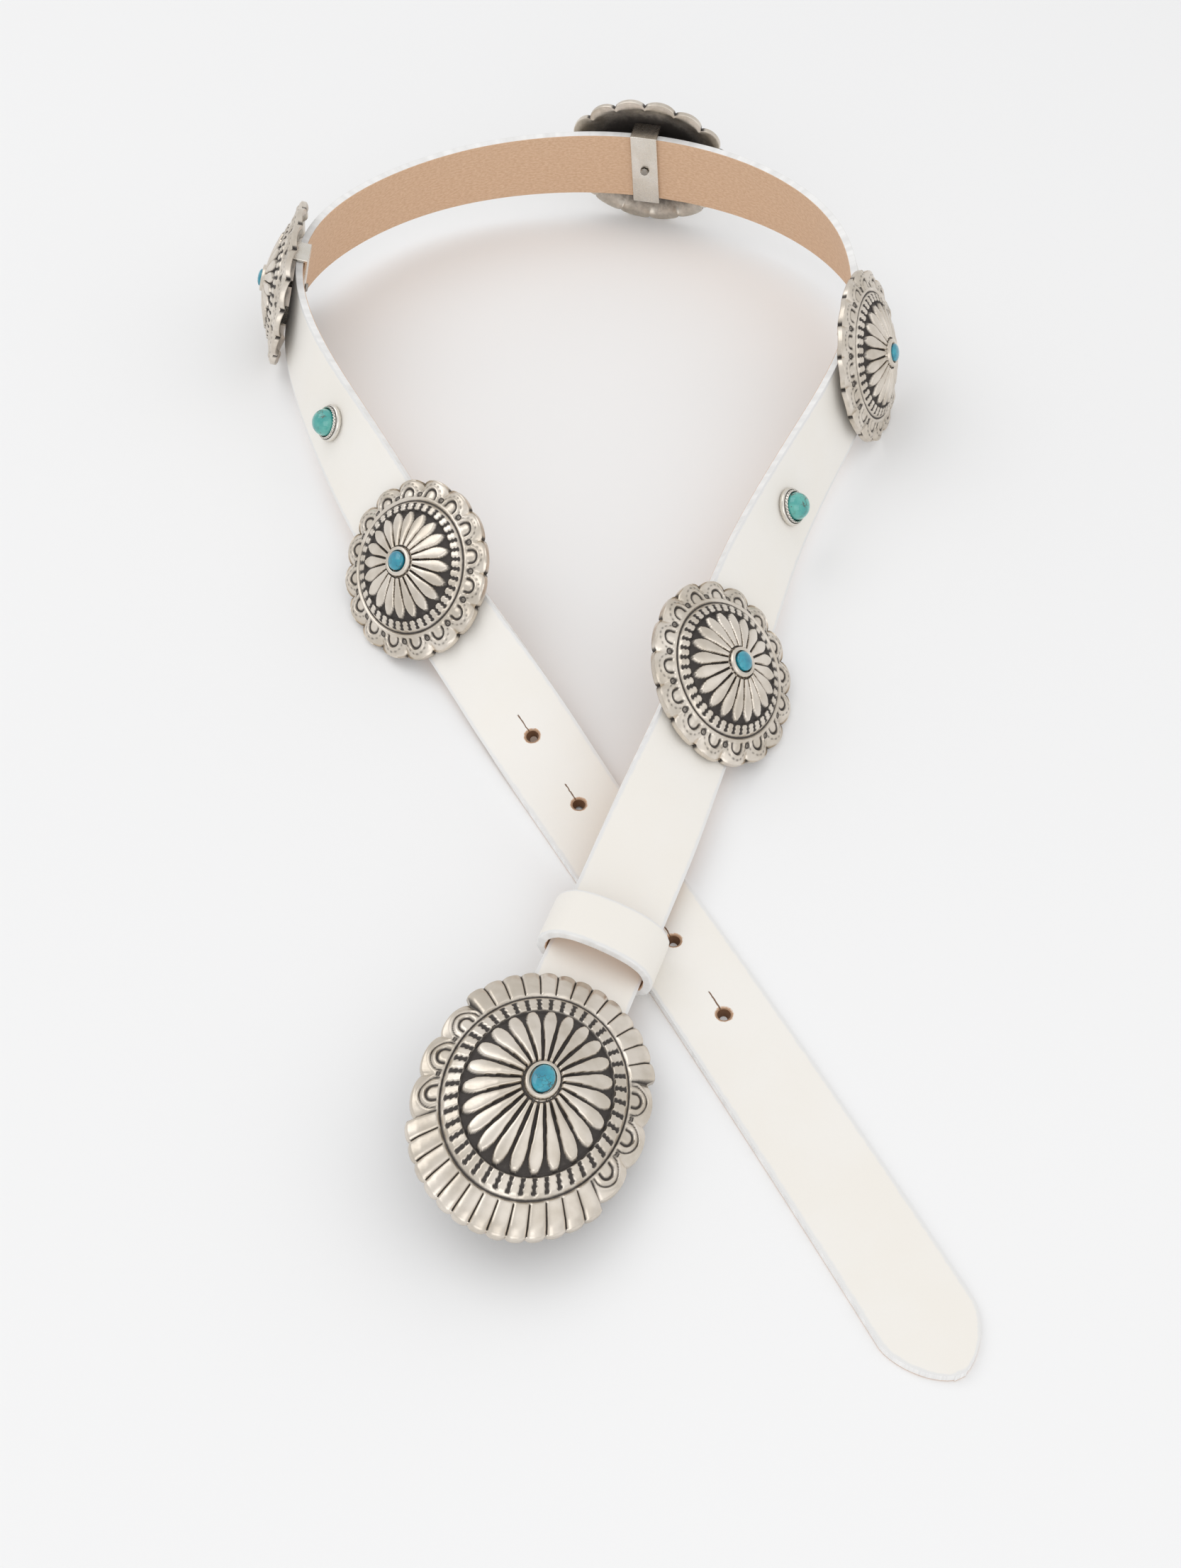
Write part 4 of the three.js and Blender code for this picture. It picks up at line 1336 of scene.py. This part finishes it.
    def add_bars(
        self, relief: Relief, radius: Array, turn: Array, low: float, high: float, teeth: int, width: float,
    ) -> None:
        """Raises a ring of bars parted by toothed dark gaps.

        Args:
            relief: What to add to.
            radius: Radius of the points, as a share.
            turn: Their turn round the plate.
            low: Inner radius of the ring.
            high: Outer radius of the ring.
            teeth: Teeth along each gap.
            width: Half width of a bar, as a share of its sector.
        """
        ring = band(low, high, 0.014, radius)
        place = (radius - low) / (high - low)
        tooth = 0.20 * np.abs(2 * np.mod(place * teeth, 1) - 1)
        side = sector(turn, self.bars)
        bar = step(width + tooth + 0.08, width + tooth - 0.06, side)
        relief.lift(ring, 0.22 * MM)
        relief.lift(ring * bar, 0.38 * MM)
        relief.sink(ring * (1 - bar), 0.12 * MM, 0.90)

    def add_lobe(
        self, relief: Relief, x: Array, y: Array, zone: Array,
        rings: Sequence[tuple[float, float, float, float]],
    ) -> None:
        """Stamps a horseshoe that opens towards the middle of the plate.

        Args:
            relief: What to add to.
            x: Distance across the lobe.
            y: Distance outwards from the stamp's middle.
            zone: Where the stamp may reach.
            rings: Radius, half width, rise and black of each line of the stamp.
        """
        bow = np.hypot(x, np.maximum(y, 0))
        open_end = step(-2.3 * MM, -1.4 * MM, y) * zone
        for radius, half, rise, black in rings:
            mask = ridge(bow - radius, half) * open_end
            if rise > 0:
                relief.lift(mask, rise)
            else:
                relief.sink(mask, -rise, black)

    def add_dot(self, relief: Relief, x: Array, y: Array, radius: float) -> None:
        """Punches a ring with a dot in it.

        Args:
            relief: What to add to.
            x: Distance across.
            y: Distance outwards.
            radius: The dot's.
        """
        far = np.hypot(x, y)
        relief.sink(ridge(far - radius * 0.72, radius * 0.55), 0.4 * MM, 0.95)
        relief.sink(step(radius * 0.9, 0, far), 0.2 * MM, 0.75)

    def build_mesh(self, name: str, seat: Matrix, forward: float, lift: float) -> bpy.types.Mesh:
        """Spins, embosses and places the plate.

        Args:
            name: The mesh's name.
            seat: The frame that it sits in.
            forward: How far it sits along the frame's x.
            lift: Height of its rim over the frame.

        Returns:
            The mesh in the row frame, with its tone.
        """
        mesh = mesh_of(name, spin_profile(self.rows(), self.steps))
        spun = points_of(mesh)
        radius, turn = polar(spun)
        layer = spun[:, 2]
        in_front = layer > 0.999
        relief = self.emboss(radius, turn)
        front = self.hull(radius) + self.setting(radius) + relief.height
        height = np.where(in_front, front, self.hollow(radius))
        wall = (layer > 0.001) & (layer <= 0.999)
        height = np.where(wall | ((layer <= 0.001) & (radius > 0.99)), layer * self.edge, height)
        wave = self.rim_wave(radius, turn)
        height = height + wave
        reach = 1 + (self.outline(turn) - 1) * step(0.80, 1.0, radius)
        across = spun[:, :2] * reach[:, None] * (self.long / 2, self.wide / 2)
        across *= self.middle_stretch(radius, layer)
        flat = np.column_stack([across[:, 0] + forward, across[:, 1], height + lift])
        seat_points(mesh, flat, seat)
        behind = 0.04 + 0.74 * step(0.50, 1.02, radius)
        notched = 0.85 - 0.65 * step(-0.2 * MM, -0.5 * MM, wave)
        tone = np.where(in_front, relief.tone, np.where(wall, notched, behind))
        foot = (radius > self.bezel) & (radius < self.bezel + 0.02) & in_front
        tone = np.where(foot, np.minimum(tone, 0.2), tone)
        seat_floor = (radius < self.bezel - self.bezel_wall / self.mean) & in_front
        tone = np.where(seat_floor, 0.1, tone)
        set_mask(mesh, "tone", tone)
        return mesh

    def add_with_stone(
        self, name: str, finishes: Finishes, seat: Matrix, forward: float, rim: float,
    ) -> None:
        """Adds the plate and the stone in its bezel to the belt.

        Args:
            name: The group that the two pieces stand for.
            finishes: The belt's finishes.
            seat: The frame that the plate sits in.
            forward: How far it sits along the frame's x.
            rim: Height of its rim over the frame.
        """
        mesh = self.build_mesh(f"{name}_casting", seat, forward, rim)
        add_piece(f"{name}_casting", mesh, finishes.plate, [f"{name}_plate"], PLATE_SHARP)
        foot = rim + self.dome + self.bezel_rise - self.seat_depth + self.stone_gap
        stone = cabochon(
            f"{name}_cabochon", self.stone_long, self.stone_wide,
            self.seat_depth - self.stone_gap, self.stone_crown, seat, forward, foot,
        )
        add_piece(f"{name}_cabochon", stone, finishes.stone, [f"{name}_stone"])


@dataclass
class ConchoPlate(Plate):
    """The pattern of a concho: scalloped lobes, a ridge, a toothed band and paddle petals."""

    long: float = 66 * MM
    wide: float = 57 * MM
    dome: float = 9.6 * MM
    edge: float = 1.9 * MM
    bezel_long: float = 10.8 * MM
    bezel_wide: float = 9.6 * MM
    stone_long: float = 6.8 * MM
    stone_wide: float = 6.0 * MM
    petals: int = 20
    bars: int = 40
    steps: int = 400
    scallops: int = 16
    scallop_depth: float = 1.9 * MM
    lobe_rise: float = 1.0 * MM
    # Radii as shares of the plate: middle of the stamps and dots, ridge, groove, bars, groove.
    stamp_at: float = 0.818
    dot_at: float = 0.815
    raised: tuple[float, float] = (0.742, 0.792)
    outer_groove: float = 0.730
    barred: tuple[float, float] = (0.602, 0.714)
    inner_groove: float = 0.592
    # Radius and half width of a petal, as a share of its sector.
    petal: tuple[tuple[float, float], ...] = (
        (0.175, 0.74), (0.25, 0.76), (0.34, 0.84), (0.43, 0.92), (0.48, 0.88),
        (0.525, 0.70), (0.56, 0.46), (0.587, 0.20), (0.599, 0.05),
    )

    def outline(self, turn: Array) -> Array:
        """Round lobes parted by narrow valleys.

        Args:
            turn: Turn round the plate.

        Returns:
            The rim's reach.
        """
        side = sector(turn, self.scallops)
        valley = 1 - np.sqrt(np.clip(1 - 0.97 * side ** 2, 0, 1))
        return 1 - 1.2 * valley * self.scallop_depth / self.mean

    def rim_wave(self, radius: Array, turn: Array) -> Array:
        """Lobes that bow forward between sunk valleys."""
        side = sector(turn, self.scallops)
        return step(0.80, 0.97, radius) * (0.35 - 0.95 * side ** 2) * self.lobe_rise

    def emboss(self, radius: Array, turn: Array) -> Relief:
        """The concho's pattern, from the rim inwards.

        Args:
            radius: Radius as a share.
            turn: Turn round the plate.

        Returns:
            The relief.
        """
        relief = Relief.flat(radius)
        lobe = np.mod(turn * self.scallops, 1) - 0.5
        arc = 2 * math.pi * radius * self.mean / self.scallops
        outer = step(0.80, 0.95, radius)
        relief.lift(outer * np.cos(2 * math.pi * lobe), 0.25 * MM)
        relief.lift(-step(0.965, 1.0, radius), 0.35 * MM)
        x, y = lobe * arc, (radius - self.stamp_at) * self.mean
        zone = step(0.775, 0.79, radius)
        angle = np.arctan2(x, np.maximum(y, 0.01 * MM))
        ticks = 0.5 + 0.5 * np.cos(angle * 15)
        fringe = ridge(np.hypot(x, np.maximum(y, 0)) - 4.1 * MM, 0.75 * MM)
        fringe *= step(-1.6 * MM, -0.6 * MM, y)
        relief.sink(zone * fringe * (0.35 + 0.65 * ticks), 0.13 * MM, 0.62)
        self.add_lobe(relief, x, y, zone, (
            (2.15 * MM, 0.82 * MM, -0.6 * MM, 0.97),
            (3.05 * MM, 0.62 * MM, 0.34 * MM, 0),
            (0.2 * MM, 1.3 * MM, 0.3 * MM, 0),
        ))
        between = (np.mod(turn * self.scallops + 0.5, 1) - 0.5) * arc
        self.add_dot(relief, between, (radius - self.dot_at) * self.mean, 1.15 * MM)
        relief.lift(band(*self.raised, 0.018, radius), 0.42 * MM)
        relief.sink(ridge(radius - self.outer_groove, 0.020), 0.45 * MM, 0.95)
        self.add_bars(relief, radius, turn, *self.barred, 3, 0.50)
        relief.sink(ridge(radius - self.inner_groove, 0.012), 0.25 * MM, 0.9)
        self.add_petals(relief, radius, turn, self.petal, 0.95 * MM, 0.05)
        return relief


@dataclass
class BucklePlate(Plate):
    """The pattern of the buckle: two fans of feathers, side lobes, a band and long petals."""

    long: float = 84 * MM
    wide: float = 65 * MM
    dome: float = 12.4 * MM
    edge: float = 2.0 * MM
    bezel_long: float = 11.8 * MM
    bezel_wide: float = 9.6 * MM
    stone_long: float = 8.5 * MM
    stone_wide: float = 6.2 * MM
    petals: int = 23
    bars: int = 44
    steps: int = 468
    feathers: int = 13
    fan_half: float = 60 / 360
    fan_corner: float = 0.02
    lobes: int = 3
    # Radii as shares of the plate: middle of the stamps and dots, groove, bars, groove.
    stamp_at: float = 0.825
    dot_at: float = 0.815
    outer_groove: float = 0.765
    barred: tuple[float, float] = (0.624, 0.748)
    inner_groove: float = 0.612
    # Radius and half width of a petal, as a share of its sector.
    petal: tuple[tuple[float, float], ...] = (
        (0.165, 0.60), (0.25, 0.62), (0.36, 0.72), (0.46, 0.83), (0.52, 0.79),
        (0.565, 0.62), (0.597, 0.38), (0.611, 0.13),
    )

    def fan(self, turn: Array) -> tuple[Array, Array]:
        """Place in the nearer fan, -1 to 1 from corner to corner, and place among the lobes.

        Args:
            turn: Turn round the plate.

        Returns:
            The two places.
        """
        folded = np.mod(turn + 0.25, 0.5) - 0.25
        place = folded / self.fan_half
        side = np.mod(turn - self.fan_half, 0.5) / (0.5 - 2 * self.fan_half)
        return place, side * self.lobes

    def outline(self, turn: Array) -> Array:
        """Feather tips in the fans, rounded lobes between them.

        Args:
            turn: Turn round the plate.

        Returns:
            The rim's reach.
        """
        place, lobe = self.fan(turn)
        tip = sector((place + 1) / 2, self.feathers)
        fans = 1.0 + self.fan_corner * np.abs(place) - 0.022 * tip ** 3
        arch = np.abs(2 * np.mod(lobe, 1) - 1)
        lobes = 0.985 - 0.078 * (1 - np.sqrt(np.clip(1 - 0.98 * arch ** 2, 0, 1)))
        mix = step(0.985, 1.01, np.abs(place))
        return fans * (1 - mix) + lobes * mix

    def emboss(self, radius: Array, turn: Array) -> Relief:
        """The buckle's pattern, from the rim inwards.

        Args:
            radius: Radius as a share.
            turn: Turn round the plate.

        Returns:
            The relief.
        """
        relief = Relief.flat(radius)
        place, lobe = self.fan(turn)
        in_fan = step(1.0, 0.985, np.abs(place))
        vane = sector((place + 1) / 2, self.feathers)
        outer = step(0.778, 0.795, radius)
        crown = np.sqrt(np.clip(1 - vane ** 2, 0, 1))
        relief.lift(in_fan * outer * crown, 0.55 * MM)
        relief.lift(-in_fan * outer * step(0.93, 1.0, radius), 0.5 * MM)
        relief.sink(in_fan * outer * step(0.86, 0.97, vane), 0.35 * MM, 0.95)
        at_corner = ridge(np.abs(place) - 1.0, 0.025)
        relief.sink(outer * at_corner, 0.35 * MM, 0.9)
        spread = 2 * math.pi * radius * self.mean * (0.5 - 2 * self.fan_half) / self.lobes
        share = np.mod(lobe, 1) - 0.5
        x = share * spread
        y = (radius - self.stamp_at) * self.mean
        zone = (1 - in_fan) * outer
        relief.lift(zone * step(0.82, 0.95, radius) * np.cos(2 * math.pi * share), 0.3 * MM)
        self.add_lobe(relief, x, y, zone, (
            (2.0 * MM, 0.80 * MM, -0.6 * MM, 0.97),
            (3.0 * MM, 0.62 * MM, 0.34 * MM, 0),
            (4.15 * MM, 0.55 * MM, -0.4 * MM, 0.88),
            (5.0 * MM, 0.60 * MM, 0.25 * MM, 0),
        ))
        gap = np.mod(lobe + 0.5, 1) - 0.5
        inside = (1 - in_fan) * step(0.5, 0.6, lobe) * step(2.5, 2.4, lobe)
        far = np.where(inside > 0.5, gap * spread, 1.0)
        self.add_dot(relief, far, (radius - self.dot_at) * self.mean, 0.85 * MM)
        relief.sink(ridge(radius - self.outer_groove, 0.018), 0.5 * MM, 0.97)
        self.add_bars(relief, radius, turn, *self.barred, 3, 0.53)
        relief.sink(ridge(radius - self.inner_groove, 0.012), 0.25 * MM, 0.9)
        self.add_petals(relief, radius, turn, self.petal, 1.05 * MM, 0.0)
        return relief


# Stones and small metal

def cabochon(
    name: str, long: float, wide: float, girdle: float, crown: float,
    seat: Matrix, forward: float, lift: float,
) -> bpy.types.Mesh:
    """A polished oval stone.

    Args:
        name: The mesh's name.
        long: Length along the frame's x.
        wide: Width along its y.
        girdle: Height of its straight side.
        crown: Height of its dome over the side.
        seat: The frame that it sits in.
        forward: How far it sits along the frame's x.
        lift: Height of its foot over the frame.

    Returns:
        The mesh in the row frame.
    """
    arc = [
        (math.cos(turn), girdle + crown * math.sin(turn))
        for turn in np.linspace(0, math.pi / 2, 15)[:-1]
    ]
    bm = spin_profile([(0, 0), (0.9, 0), (0.97, girdle * 0.1), *arc, (0, girdle + crown)], 48)
    bmesh.ops.scale(bm, verts=bm.verts, vec=(long / 2, wide / 2, 1))
    bmesh.ops.translate(bm, verts=bm.verts, vec=(forward, 0, lift))
    bmesh.ops.transform(bm, verts=bm.verts, matrix=seat)
    return mesh_of(name, bm)


@dataclass
class Rounded:
    """Small CAD metal with its edges rounded off."""

    radius: float = 0.35 * MM
    segments: int = 3

    def build(self, node: str, material: bpy.types.Material, tone: float = 0.9) -> bpy.types.Object:
        """Copies a solid, joins its loose faces and rounds its edges.

        Args:
            node: The solid's node.
            material: The finish.
            tone: How polished it is.

        Returns:
            The piece.
        """
        bm = bmesh.new()
        bm.from_mesh(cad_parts[node].data)
        bmesh.ops.remove_doubles(bm, verts=bm.verts, dist=1e-6)
        bmesh.ops.dissolve_limit(
            bm, angle_limit=math.radians(3), verts=bm.verts, edges=bm.edges, use_dissolve_boundaries=False,
        )
        edges = [edge for edge in bm.edges if edge.calc_face_angle(0) > math.radians(50)]
        bmesh.ops.bevel(
            bm, geom=edges, offset=self.radius, offset_type="OFFSET", segments=self.segments,
            profile=0.5, affect="EDGES", clamp_overlap=True, material=-1,
        )
        bmesh.ops.triangulate(bm, faces=[face for face in bm.faces if len(face.verts) > 4])
        mesh = mesh_of(f"{node}_metal", bm)
        set_mask(mesh, "tone", np.full(len(mesh.vertices), tone))
        return add_piece(f"{node}_metal", mesh, material, [node], METAL_SHARP)


@dataclass
class Concho:
    """One concho: its plate, stone, bar and rivet."""

    route: Route
    place: Place
    rim_gap: float = 0.5 * MM
    bar_width: float = 10.5 * MM
    margin: float = 0.8 * MM

    def build(self, finishes: Finishes) -> None:
        """Builds the concho's four pieces.

        Args:
            finishes: The belt's finishes.
        """
        name = f"concho_{self.place.name.lower()}"
        seat = self.route.seat(self.place.value, self.bar_width / 2 + self.margin)
        rim = self.route.thick / 2 + self.rim_gap
        ConchoPlate().add_with_stone(name, finishes, seat, 0, rim)
        Rounded().build(f"{name}_bar", finishes.pale)
        Rounded(0.2 * MM, 2).build(f"{name}_rivet", finishes.pale, 0.5)


@dataclass
class Stud:
    """A high round turquoise in a silver cup, held by a screw."""

    route: Route
    place: StudPlace
    width: float = 13 * MM
    cup: float = 3.0 * MM
    wall: float = 1.7 * MM
    floor: float = 1.1 * MM
    stone_rise: float = 4.2 * MM
    stone_swell: float = 0.4 * MM
    margin: float = 0.8 * MM
    beads: int = 30
    bead_depth: float = 0.45 * MM
    # Turns that the beads' rope gains for each metre outwards.
    twist: float = 40

    def cup_mesh(self, name: str, seat: Matrix, lift: float) -> bpy.types.Mesh:
        """The cup, with a bright outer ring and a row of beads inside it.

        Args:
            name: The mesh's name.
            seat: The frame that it sits in.
            lift: Height of its foot.

        Returns:
            The mesh in the row frame, with its tone.
        """
        half = self.width / 2
        inner = half - self.wall
        profile = [
            (0, 0), (half - 0.5 * MM, 0), (half - 0.12 * MM, 0.25 * MM), (half, 0.8 * MM),
            (half - 0.05 * MM, 1.3 * MM), (half - 0.3 * MM, 1.75 * MM), (half - 0.6 * MM, 1.8 * MM),
            (half - 0.75 * MM, 1.6 * MM), (half - 0.8 * MM, 1.9 * MM), (half - 0.85 * MM, 2.4 * MM),
            (half - 1.05 * MM, 2.8 * MM), (half - 1.25 * MM, 2.85 * MM), (half - 1.45 * MM, 2.75 * MM),
            (inner + 0.05 * MM, 2.3 * MM), (inner, self.floor), (0, self.floor),
        ]
        mesh = mesh_of(name, spin_profile(profile, self.beads * 8))
        flat = points_of(mesh)
        radius, turn = polar(flat)
        bead = sector(turn + radius * self.twist, self.beads)
        beaded = band(inner - 0.1 * MM, half - 0.7 * MM, 0.15 * MM, radius)
        beaded *= step(1.5 * MM, 2.0 * MM, flat[:, 2])
        flat[:, 2] -= beaded * bead ** 2 * self.bead_depth
        tone = 0.95 - 0.75 * beaded * step(0.55, 0.95, bead)
        tone = np.where(radius < inner + 0.2 * MM, 0.12, tone)
        tone = np.where(np.abs(radius - half + 0.75 * MM) < 0.08 * MM, 0.25, tone)
        flat[:, 2] += lift
        seat_points(mesh, flat, seat)
        set_mask(mesh, "tone", tone)
        return mesh

    def build(self, finishes: Finishes) -> None:
        """Builds the stud's three pieces.

        Args:
            finishes: The belt's finishes.
        """
        name = f"stud_{self.place.name.lower()}"
        seat = self.route.seat(self.place.value, self.width / 2 + self.margin)
        face = self.route.thick / 2
        gap = self.route.clearance
        cup = self.cup_mesh(f"{name}_setting", seat, face + gap)
        add_piece(f"{name}_setting", cup, finishes.pale, [f"{name}_cup"], CUP_SHARP)
        wide = self.width - 2 * self.wall - 2 * gap + self.stone_swell
        girdle = self.cup * 0.82 - self.floor
        crown = self.cup + self.stone_rise - self.floor - girdle - gap
        stone = cabochon(
            f"{name}_cabochon", wide, wide, girdle, crown, seat, 0, face + 2 * gap + self.floor)
        add_piece(f"{name}_cabochon", stone, finishes.green, [f"{name}_stone"])
        Rounded(0.2 * MM, 2).build(f"{name}_screw", finishes.pale, 0.6)


@dataclass
class Buckle:
    """The oval hook buckle with its stone, bar and hook."""

    route: Route
    rim_gap: float = 0.8 * MM
    forward: float = 13.5 * MM

    def build(self, finishes: Finishes) -> None:
        """Builds the buckle's four pieces.

        Args:
            finishes: The belt's finishes.
        """
        seat = self.route.end()
        rim = self.route.thick / 2 + self.rim_gap
        BucklePlate().add_with_stone("buckle", finishes, seat, self.forward, rim)
        for node in ("buckle_bar", "buckle_hook"):
            Rounded(0.25 * MM, 2).build(node, finishes.pale, 0.7)


# The picture

@dataclass
class Studio:
    """A pale floor, soft light and the camera at the photo's angle."""

    camera_at: tuple[float, float, float] = (4.9 * MM, -502.0 * MM, 513.4 * MM)
    look_at: tuple[float, float, float] = (4.9 * MM, -55.7 * MM, 0.0)
    lens: float = 50.0
    sensor: float = 36.0
    sky: float = 0.79
    paper: Colour = (0.90, 0.901, 0.904, 1)
    paper_pale: Colour = (0.915, 0.916, 0.919, 1)
    # Name, place in metres, side in metres and watts of each soft box.
    lamps: tuple[tuple[str, tuple[float, float, float], float, float], ...] = (
        ("key", (-0.9, 0.5, 1.5), 1.3, 5.0),
        ("fill", (0.9, -0.4, 1.3), 1.4, 1.5),
        ("front", (0.1, -1.4, 0.9), 1.2, 3.6),
    )

    def floor(self) -> None:
        """The pale floor."""
        bm = bmesh.new()
        bmesh.ops.create_grid(bm, x_segments=4, y_segments=4, size=3.0)
        bmesh.ops.translate(bm, verts=bm.verts, vec=(0, 0, -0.05 * MM))
        mesh = mesh_of("floor", bm)
        material, tree, shader = new_material("pale_paper")
        colour = tree.mix(tree.noise(tree.place(), 3.0, 2), self.paper, self.paper_pale)
        tree.fill(shader, Base_Color=colour, Roughness=0.9, Specular_IOR_Level=0.2)
        mesh.materials.append(material)
        add_object("floor", mesh)

    @staticmethod
    def aim(obj: bpy.types.Object, at: Sequence[float], to: Sequence[float]) -> None:
        """Puts a lamp or camera at a place and points it at another."""
        obj.location = at
        obj.rotation_euler = (Vector(to) - Vector(at)).to_track_quat("-Z", "Y").to_euler()

    def lamp(self, name: str, at: tuple[float, float, float], size: float, power: float) -> None:
        """A square soft box that faces the belt.

        Args:
            name: The lamp's name.
            at: Its place in metres.
            size: Its side in metres.
            power: Its watts.
        """
        light = bpy.data.lights.new(name, "AREA")
        light.shape = "SQUARE"
        light.size = size
        light.energy = power
        self.aim(add_object(name, light), at, (0, 0, 0))

    def build(self) -> None:
        """Sets up the floor, world, lamps and camera."""
        scene = bpy.context.scene
        scene.view_settings.view_transform = "Standard"
        self.floor()
        world = bpy.data.worlds.new("studio")
        world.use_nodes = True
        Tree(world.node_tree).fill(
            world.node_tree.nodes["Background"], Color=(1, 1, 1, 1), Strength=self.sky)
        scene.world = world
        for lamp in self.lamps:
            self.lamp(*lamp)
        data = bpy.data.cameras.new("camera")
        data.sensor_fit = "VERTICAL"
        data.sensor_height = self.sensor
        data.lens = self.lens
        data.clip_start = 0.01
        scene.camera = add_object("camera", data)
        self.aim(scene.camera, self.camera_at, self.look_at)


def main() -> None:
    """Builds the studio and every piece of the belt."""
    logging.basicConfig(level=logging.INFO, format="%(name)s %(message)s")
    Studio().build()
    route = Route()
    strap = Strap(route)
    strip = strap.strip
    finishes = Finishes.build((strip.hole_first, strip.hole_pitch, strip.hole_count))
    strap.build(finishes)
    Keeper(route).build(finishes)
    for place in Place:
        Concho(route, place).build(finishes)
    for place in StudPlace:
        Stud(route, place).build(finishes)
    Buckle(route).build(finishes)


if __name__ == "__main__":
    main()
